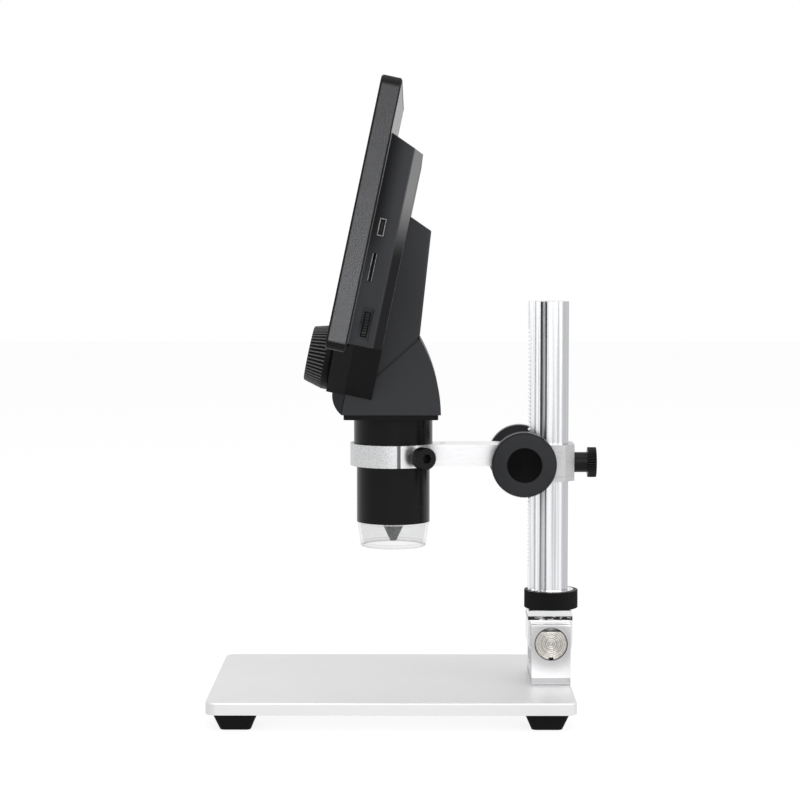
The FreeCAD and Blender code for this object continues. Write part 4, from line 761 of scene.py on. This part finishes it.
board_finish = circuit_board()
foil_finish = grained_metal("cell_foil", (0.50, 0.51, 0.53), 0.40, (1, 1, 1), 300.0, 0.00002)
lamp_finish = moulded("lamp_package", (0.85, 0.82, 0.66), 0.30, 3000.0, 0.000005, 0.05)
chip_finish = moulded("chip_package", (0.035, 0.036, 0.045), 0.25, 3000.0, 0.000004)
print("inner finishes:", [finish.name for finish in (board_finish, foil_finish, lamp_finish, chip_finish)])

# %% [markdown]
# ## Dress the frame's pieces
#
# Each piece of the frame takes one finish, by name. A piece that is modelled again further down
# is dressed here as well, so that the frame is complete by itself.

# %% Metal pieces
def dress(finish, *names):
    for name in names:
        mesh = nodes[name].data
        mesh.materials.clear()
        mesh.materials.append(finish)


dress(plate_finish, "base_plate")
dress(machined_finish, "slider_block")
dress(bracket_finish, "hinge_bracket")
dress(foot_finish, "column_foot")
dress(arm_finish, "clamp_arm")
dress(column_finish, "column")
dress(chrome_finish, "pivot_bolt", "pivot_nut")
dress(steel_finish, "foot_screws", "bracket_screws", "column_screw", "arm_screw", "arm_set_screw",
      "focus_rack", "wheel_shaft", "neck_screws", "board_screws")
dress(screw_finish, "cover_screws")
dress(socket_finish, "usb_socket", "card_socket")
dress(brass_finish, "shaft_bushes", "rack_pinion", "wheel_pinion")
print("metal and sockets:", sum(bool(piece.data.materials) for piece in nodes.values()), "pieces so far")

# %% Black pieces
dress(collar_finish, "locking_collar")
dress(knob_finish, "focus_knob_left", "focus_knob_right", "pinion_shaft")
dress(screw_finish, "column_lock_screw", "ring_lock_screw")
dress(barrel_finish, "barrel", "carriage_tube", "objective_cone")
dress(cap_finish, "light_cap")
dress(housing_finish, "rear_housing")
dress(frame_finish, "front_housing")
dress(flange_finish, "neck_flange")
dress(dimmer_finish, "focus_wheel", "brightness_wheel", "brightness_pot")
dress(button_finish, *[name for name in nodes if name.startswith("button_") and name != "button_boards"])
dress(rubber_finish, *[name for name in nodes if name.startswith("foot_") and name != "foot_screws"])

# %% Glass, boards and lamps
dress(glass_finish, "screen_glass")
dress(panel_finish, "lcd_panel")
dress(lens_finish, "objective_lens")
dress(board_finish, "led_board", "main_board", "button_boards", "sensor_board")
dress(foil_finish, "battery")
dress(lamp_finish, "leds")
dress(chip_finish, "image_sensor")
print("pieces without a finish:", [name for name, piece in nodes.items() if not piece.data.materials])

# %% [markdown]
# ## Soft edges
#
# A real edge is never perfectly sharp, and the thin line of light along it is what makes a
# moulding look moulded. A Bevel modifier gives that line without touching the mesh underneath:
# the loose triangles are welded, flat areas are joined, and only the true corners are rounded.

# %% Soften the edges that show
SOFT_CORNER = math.radians(32)


def soften(width, *names, segments=2):
    """Round the corners of frame pieces by a width in millimetres."""
    for name in names:
        piece = nodes[name]
        weld = piece.modifiers.new("weld", "WELD")
        weld.merge_threshold = 0.002 * MM
        flat = piece.modifiers.new("flat", "DECIMATE")
        flat.decimate_type = "DISSOLVE"
        flat.angle_limit = math.radians(0.6)
        bevel = piece.modifiers.new("bevel", "BEVEL")
        bevel.width = width * MM
        bevel.segments = segments
        bevel.limit_method = "ANGLE"
        bevel.angle_limit = SOFT_CORNER
        for polygon in piece.data.polygons:
            polygon.use_smooth = True
        shade = piece.modifiers.new("shade", "WEIGHTED_NORMAL")
        shade.keep_sharp = False


soften(0.25, "front_housing", "rear_housing", "neck_flange")
soften(0.25, "base_plate", "hinge_bracket", "column_foot", "slider_block", "clamp_arm")
soften(0.10, "locking_collar", "ring_lock_screw", "column_lock_screw", "brightness_wheel", segments=1)
print("softened:", sorted(name for name, piece in nodes.items() if "bevel" in piece.modifiers))

# %% [markdown]
# ## Modelling by hand: the turned parts
#
# Knobs, the focus wheel and the cap were all turned or moulded round an axis. A circle is drawn,
# then extruded and resized ring by ring, the way a lathe tool steps along the work. Every part is
# shaped upright at the middle of the world, because there a resize about the axis is simple, and
# it is carried to its own axis at the end.

# %% A clean start, and choosing by place
def start_clean():
    """The frame's own pieces are selected after loading, and an operator would move them too."""
    bpy.ops.object.select_all(action="DESELECT")


def take(piece):
    """Select one piece and make it the active one."""
    start_clean()
    piece.select_set(True)
    bpy.context.view_layer.objects.active = piece


def choose(piece, kind, passes):
    """In edit mode, select only the vertices, edges or faces whose middle passes a test."""
    bpy.ops.mesh.select_mode(type=kind)
    bpy.ops.mesh.select_all(action="DESELECT")
    mesh = bmesh.from_edit_mesh(piece.data)
    members = {"VERT": mesh.verts, "EDGE": mesh.edges, "FACE": mesh.faces}[kind]
    count = 0
    for member in members:
        corners = [member] if kind == "VERT" else member.verts
        if passes(sum((v.co for v in corners), Vector()) / len(corners)):
            member.select_set(True)
            count += 1
    mesh.select_flush_mode()
    bmesh.update_edit_mesh(piece.data)
    return count


start_clean()
print("selected after a clean start:", len(bpy.context.selected_objects))


# %% A lathe made of extrusions
def extrude_ring(rise, grow, height):
    """One step of the lathe: extrude what is selected, then resize it about the axis."""
    bpy.ops.mesh.extrude_region_move(TRANSFORM_OT_translate={"value": (0, 0, rise)})
    bpy.ops.transform.resize(value=(grow, grow, 1), center_override=(0, 0, height))


def turn(name, steps, sides, closed=False):
    """Turn a part about Z from (radius, height) steps in millimetres."""
    start_clean()
    radius, height = steps[0]
    fill = "NOTHING" if closed else "NGON"
    bpy.ops.mesh.primitive_circle_add(vertices=sides, radius=radius * MM, fill_type=fill,
                                      location=(0, 0, height * MM))
    piece = bpy.context.object
    piece.name = name
    bpy.ops.object.transform_apply(location=True, rotation=True, scale=True)
    bpy.ops.object.mode_set(mode="EDIT")
    bpy.ops.mesh.select_all(action="SELECT")
    for new_radius, new_height in steps[1:] + (steps[:1] if closed else []):
        extrude_ring((new_height - height) * MM, new_radius / radius, new_height * MM)
        radius, height = new_radius, new_height
    bpy.ops.mesh.select_all(action="SELECT")
    bpy.ops.mesh.remove_doubles(threshold=0.0005 * MM)
    bpy.ops.mesh.normals_make_consistent(inside=False)
    bpy.ops.object.mode_set(mode="OBJECT")
    print(name, "turned in", len(steps), "steps with", sides, "sides")
    return piece


# %% [markdown]
# ## Ridges, bores and corners
#
# A knurling wheel presses valleys into a rim, and that is what knurl does: it picks the valley
# vertices by their angle and pulls them inwards. A bore is cut with a Boolean, and a corner is
# broken with a Bevel. Both are applied at once, because nothing here changes again.

# %% Knurls
def knurl(piece, sides, per_ridge, low, high, least, depth):
    """Press grooves into a rim: pull the valley vertices of each ridge towards the axis."""
    def in_valley(spot):
        step = round(math.atan2(spot.y, spot.x) / (2 * math.pi) * sides) % per_ridge
        radius = math.hypot(spot.x, spot.y)
        return low * MM < spot.z < high * MM and radius > least * MM and step >= per_ridge / 2

    bpy.ops.object.mode_set(mode="EDIT")
    count = choose(piece, "VERT", in_valley)
    grow = 1 - depth / least
    bpy.ops.transform.resize(value=(grow, grow, 1), center_override=(0, 0, 0))
    bpy.ops.object.mode_set(mode="OBJECT")
    print(piece.name, "ridges:", sides // per_ridge, "vertices pressed in:", count)


# %% Bores and broken corners
def bore(piece, radius, low, high):
    """Cut a round hole along Z, from one height to another, with a Boolean, then apply it."""
    start_clean()
    bpy.ops.mesh.primitive_cylinder_add(vertices=32, radius=radius * MM, depth=(high - low) * MM,
                                        location=(0, 0, (low + high) / 2 * MM))
    cutter = bpy.context.object
    cut = piece.modifiers.new("bore", "BOOLEAN")
    cut.operation = "DIFFERENCE"
    cut.object = cutter
    bpy.context.view_layer.objects.active = piece
    bpy.ops.object.modifier_apply(modifier="bore")
    bpy.data.objects.remove(cutter)
    print(piece.name, "bored to radius", radius, "mm")


def round_corners(piece, width, segments=2, corner=35):
    take(piece)
    bevel = piece.modifiers.new("bevel", "BEVEL")
    bevel.width = width * MM
    bevel.segments = segments
    bevel.limit_method = "ANGLE"
    bevel.angle_limit = math.radians(corner)
    bpy.ops.object.modifier_apply(modifier="bevel")
    bpy.ops.object.shade_smooth_by_angle(angle=math.radians(35))


# %% [markdown]
# ## Into place
#
# A finished piece sits at the world's origin, unturned, with its place inside its mesh, as the
# frame's own pieces do. It then takes over a node of the frame: its body, so that it moves with
# the right joint, and its material slot.

# %% Carry a part to its axis and let it stand for a node
def carry(piece, origin, direction):
    """Lay the part's own Z along a direction from an origin, and put that into its mesh."""
    take(piece)
    turned = Vector(direction).to_track_quat("Z", "Y").to_matrix().to_4x4()
    piece.matrix_world = Matrix.Translation(origin) @ turned
    bpy.ops.object.transform_apply(location=True, rotation=True, scale=True)


def stand_for(piece, node, finish):
    """The new piece takes the node's place, body and material slot."""
    piece.data.materials.clear()
    piece.data.materials.append(finish)
    body = nodes[node]["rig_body"]
    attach(piece, body)
    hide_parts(node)
    low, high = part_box(node)
    size = [round((b - a) / MM, 2) for a, b in zip(low, high)]
    print(piece.name, "stands for", node, "of size", size, "mm with", len(piece.data.polygons), "faces")


# %% [markdown]
# ## Focus knobs
#
# Each knob is turned from bar: a short hub, a rim with fine knurling that the fingers grip, a
# shallow cone as the face and a flat dish in its middle. The knurling has a hundred ridges, so
# the circle gets two hundred sides and every second vertex of the rim is pressed in.

# %% Focus knobs
KNOB_RIDGES = 100
KNOB_STEPS = [(6.0, 12.3), (6.0, 17.0), (14.2, 17.0), (15.0, 17.8), (15.0, 25.0), (14.5, 25.5), (14.2, 25.55),
              (8.5, 26.98), (8.2, 26.98), (7.9, 26.7), (7.9, 25.8), (7.6, 25.75), (1.0, 25.8)]


def focus_knob(name, node, side):
    knob = turn(name, KNOB_STEPS, 2 * KNOB_RIDGES)
    knurl(knob, 2 * KNOB_RIDGES, 2, 17.5, 25.2, 14.9, 0.5)
    bore(knob, 2.0, 10.0, 22.0)
    round_corners(knob, 0.10, corner=40)
    carry(knob, (0, knob_axis.y, knob_axis.z), (side, 0, 0))
    stand_for(knob, node, knob_finish)


focus_knob("turned_knob_right", "focus_knob_right", 1)
focus_knob("turned_knob_left", "focus_knob_left", -1)

# %% [markdown]
# ## Focus wheel
#
# The wheel on the chin is moulded. Its ribs run along a cone and catch the light one by one, so
# each rib gets a flat crest, a flat valley and rounded edges: four vertices to a rib. A skirt
# closes it towards the housing, and the front has a dished face.

# %% Focus wheel
RIBS = 50
WHEEL_STEPS = [(14.7, 0.0), (15.0, 0.3), (15.0, 3.2), (14.7, 3.5), (14.75, 3.6), (12.75, 11.0), (12.3, 11.4),
               (11.9, 11.5), (9.8, 11.5), (9.4, 11.1), (8.0, 10.9), (2.0, 10.8)]
wheel = turn("ribbed_focus_wheel", WHEEL_STEPS, 4 * RIBS)
knurl(wheel, 4 * RIBS, 4, 3.55, 11.45, 12.25, 0.75)
bore(wheel, 1.5, -1.0, 8.5)
round_corners(wheel, 0.07, segments=1, corner=28)
wheel_rear = SCREEN_ORIGIN + Matrix.Rotation(-screen_tilt, 3, "X") @ Vector((0, 2.25 * MM, -WHEEL_RISE))
carry(wheel, wheel_rear, -wheel_axis)
stand_for(wheel, "focus_wheel", wheel_finish)

# %% [markdown]
# ## Light cap
#
# The cap is a thin frosted moulding, open below, that spreads the light of the lamps behind it.
# Its section is a closed loop, so the circle isn't filled, and the last ring is merged with the
# first. The lower lip is thickened and rounded, and a faint step shows where it meets the barrel.

# %% Light cap
CAP_STEPS = [(14.9, 75.6), (15.2, 75.9), (15.5, 77.6), (16.55, 84.9), (16.62, 85.1), (16.95, 86.9),
             (16.95, 87.2), (14.56, 87.2), (14.56, 88.2), (13.4, 88.2), (13.4, 85.7), (15.2, 85.7),
             (13.95, 77.4), (13.7, 76.0), (13.9, 75.6)]
cap = turn("frosted_light_cap", CAP_STEPS, 96, closed=True)
round_corners(cap, 0.12)
carry(cap, (0, barrel_axis.y, 0), (0, 0, 1))
stand_for(cap, "light_cap", cap_finish)

# %% [markdown]
# ## Rubber feet
#
# A foot is a block that narrows downwards, with a screw sunk into it from below. One is shaped:
# a cube, its lower face made smaller, its corners rounded, a shallow frame left round the sole
# and a bore for the screw. The other three are copies, each with its own mesh.

# %% Rubber feet
foot_low, foot_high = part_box("foot_front_left")
foot_size = foot_high.x - foot_low.x
SOLE = 13.7 * MM


def on_corner(spot):
    """The four edges that run from the top to the sole."""
    return 0.2 < spot.z / foot_high.z < 0.8 and min(abs(spot.x), abs(spot.y)) > SOLE / 3


start_clean()
bpy.ops.mesh.primitive_cube_add(size=1, location=(0, 0, foot_high.z / 2),
                                scale=(foot_size, foot_size, foot_high.z))
foot = bpy.context.object
bpy.ops.object.transform_apply(location=True, rotation=True, scale=True)
bpy.ops.object.mode_set(mode="EDIT")
choose(foot, "FACE", lambda spot: spot.z < 0.001 * MM)
bpy.ops.transform.resize(value=(SOLE / foot_size, SOLE / foot_size, 1), center_override=(0, 0, 0))
choose(foot, "EDGE", on_corner)
bpy.ops.mesh.bevel(offset=2.0 * MM, segments=5, affect="EDGES")
choose(foot, "FACE", lambda spot: spot.z < 0.001 * MM)
bpy.ops.mesh.inset(thickness=1.4 * MM)
bpy.ops.mesh.extrude_region_move(TRANSFORM_OT_translate={"value": (0, 0, 0.35 * MM)})
bpy.ops.object.mode_set(mode="OBJECT")
bore(foot, 3.25, -1.0, 4.2)
bore(foot, 1.5, 4.0, 8.5)
round_corners(foot, 0.35)
for place_name in ("front_left", "front_right", "rear_left", "rear_right"):
    low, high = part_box("foot_" + place_name)
    copy = foot.copy()
    copy.data = foot.data.copy()
    copy.name = "rubber_foot_" + place_name
    bpy.context.scene.collection.objects.link(copy)
    carry(copy, ((low.x + high.x) / 2, (low.y + high.y) / 2, 0), (0, 0, 1))
    stand_for(copy, "foot_" + place_name, rubber_finish)
bpy.data.objects.remove(foot)

# %% [markdown]
# ## Floor, light and camera
#
# The object stands on a seamless white sheet. Its brightness comes from the sheet's own colour
# for the camera and for reflections, never from more light, so the metal keeps its tone and the
# floor keeps the object's shadow. Round it is an even sky with three large soft lamps: one
# overhead, one behind for the rims and one beside the camera.

# %% The white sheet
def white_sheet():
    paint = Paint("white_sheet")
    cloth = paint.node("ShaderNodeBsdfDiffuse", inputs={"Color": (0.92, 0.92, 0.92, 1)})
    glow = paint.node("ShaderNodeEmission", inputs={"Color": (1, 1, 1, 1), "Strength": 1.08})
    mixed = paint.node("ShaderNodeMixShader", inputs={0: paint.seen() * 0.8, 1: cloth, 2: glow})
    return paint.finish(mixed)


start_clean()
bpy.ops.mesh.primitive_plane_add(size=8.0, location=(0, 0, 0))
sheet = bpy.context.object
sheet.name = "white_sheet"
sheet.data.materials.append(white_sheet())
print(sheet.name, "is", round(sheet.dimensions.x, 1), "m wide")


# %% The sky
def studio():
    """A soft even sky that is plain white wherever it is seen or mirrored."""
    paint = Paint("studio", bpy.data.worlds)
    sky = paint.node("ShaderNodeBackground", inputs={"Color": (1, 1, 1, 1), "Strength": 0.62})
    white = paint.node("ShaderNodeBackground", inputs={"Color": (1, 1, 1, 1), "Strength": 1.0})
    mixed = paint.node("ShaderNodeMixShader", inputs={0: paint.seen(), 1: sky, 2: white})
    return paint.finish(mixed, "ShaderNodeOutputWorld")


bpy.context.scene.world = studio()
print("the sky is", bpy.context.scene.world.name)


# %% The lamps
def soft_lamp(name, size, watts, spot, target):
    bpy.ops.object.light_add(type="AREA", location=spot)
    lamp = bpy.context.object
    lamp.name = name
    lamp.data.size = size
    lamp.data.energy = watts
    lamp.rotation_euler = (Vector(target) - Vector(spot)).to_track_quat("-Z", "Y").to_euler()
    print(name, "lamp:", watts, "W over", size, "m")


soft_lamp("overhead", 0.9, 4.0, (0.25, -0.10, 1.15), (0, 0, 0.12))
soft_lamp("rear", 0.8, 7.0, (0.55, 1.15, 0.75), (0, 0.02, 0.18))
soft_lamp("camera_side", 0.6, 3.5, (1.15, 0.10, 0.55), (0, 0, 0.12))

# %% [markdown]
# ## The camera
#
# The photograph was taken with a long lens from the object's right-hand side, a little above its
# middle. The camera's place and its focal length in pixels come from the plate's edges and the
# round parts in the picture, whose frame is 800 pixels wide.

# %% The camera
CAMERA_AT = Vector((0.980, 0.00265, 0.2129))
CAMERA_PITCH = math.radians(4.04)
CAMERA_YAW = math.radians(0.2987)
FOCAL_PIXELS = 2110.0
FRAME_PIXELS = 800.0
SENSOR = 36.0

camera_data = bpy.data.cameras.new("camera")
camera_data.sensor_width = SENSOR
camera_data.lens = SENSOR * FOCAL_PIXELS / FRAME_PIXELS
camera = bpy.data.objects.new("camera", camera_data)
bpy.context.scene.collection.objects.link(camera)
look = Vector((-math.cos(CAMERA_YAW) * math.cos(CAMERA_PITCH), -math.sin(CAMERA_YAW) * math.cos(CAMERA_PITCH),
               -math.sin(CAMERA_PITCH)))
camera.location = CAMERA_AT
camera.rotation_euler = look.to_track_quat("-Z", "Y").to_euler()
bpy.context.scene.camera = camera
bpy.context.scene.view_settings.view_transform = "Standard"
print("lens:", round(camera_data.lens, 1), "mm on a", SENSOR, "mm sensor")
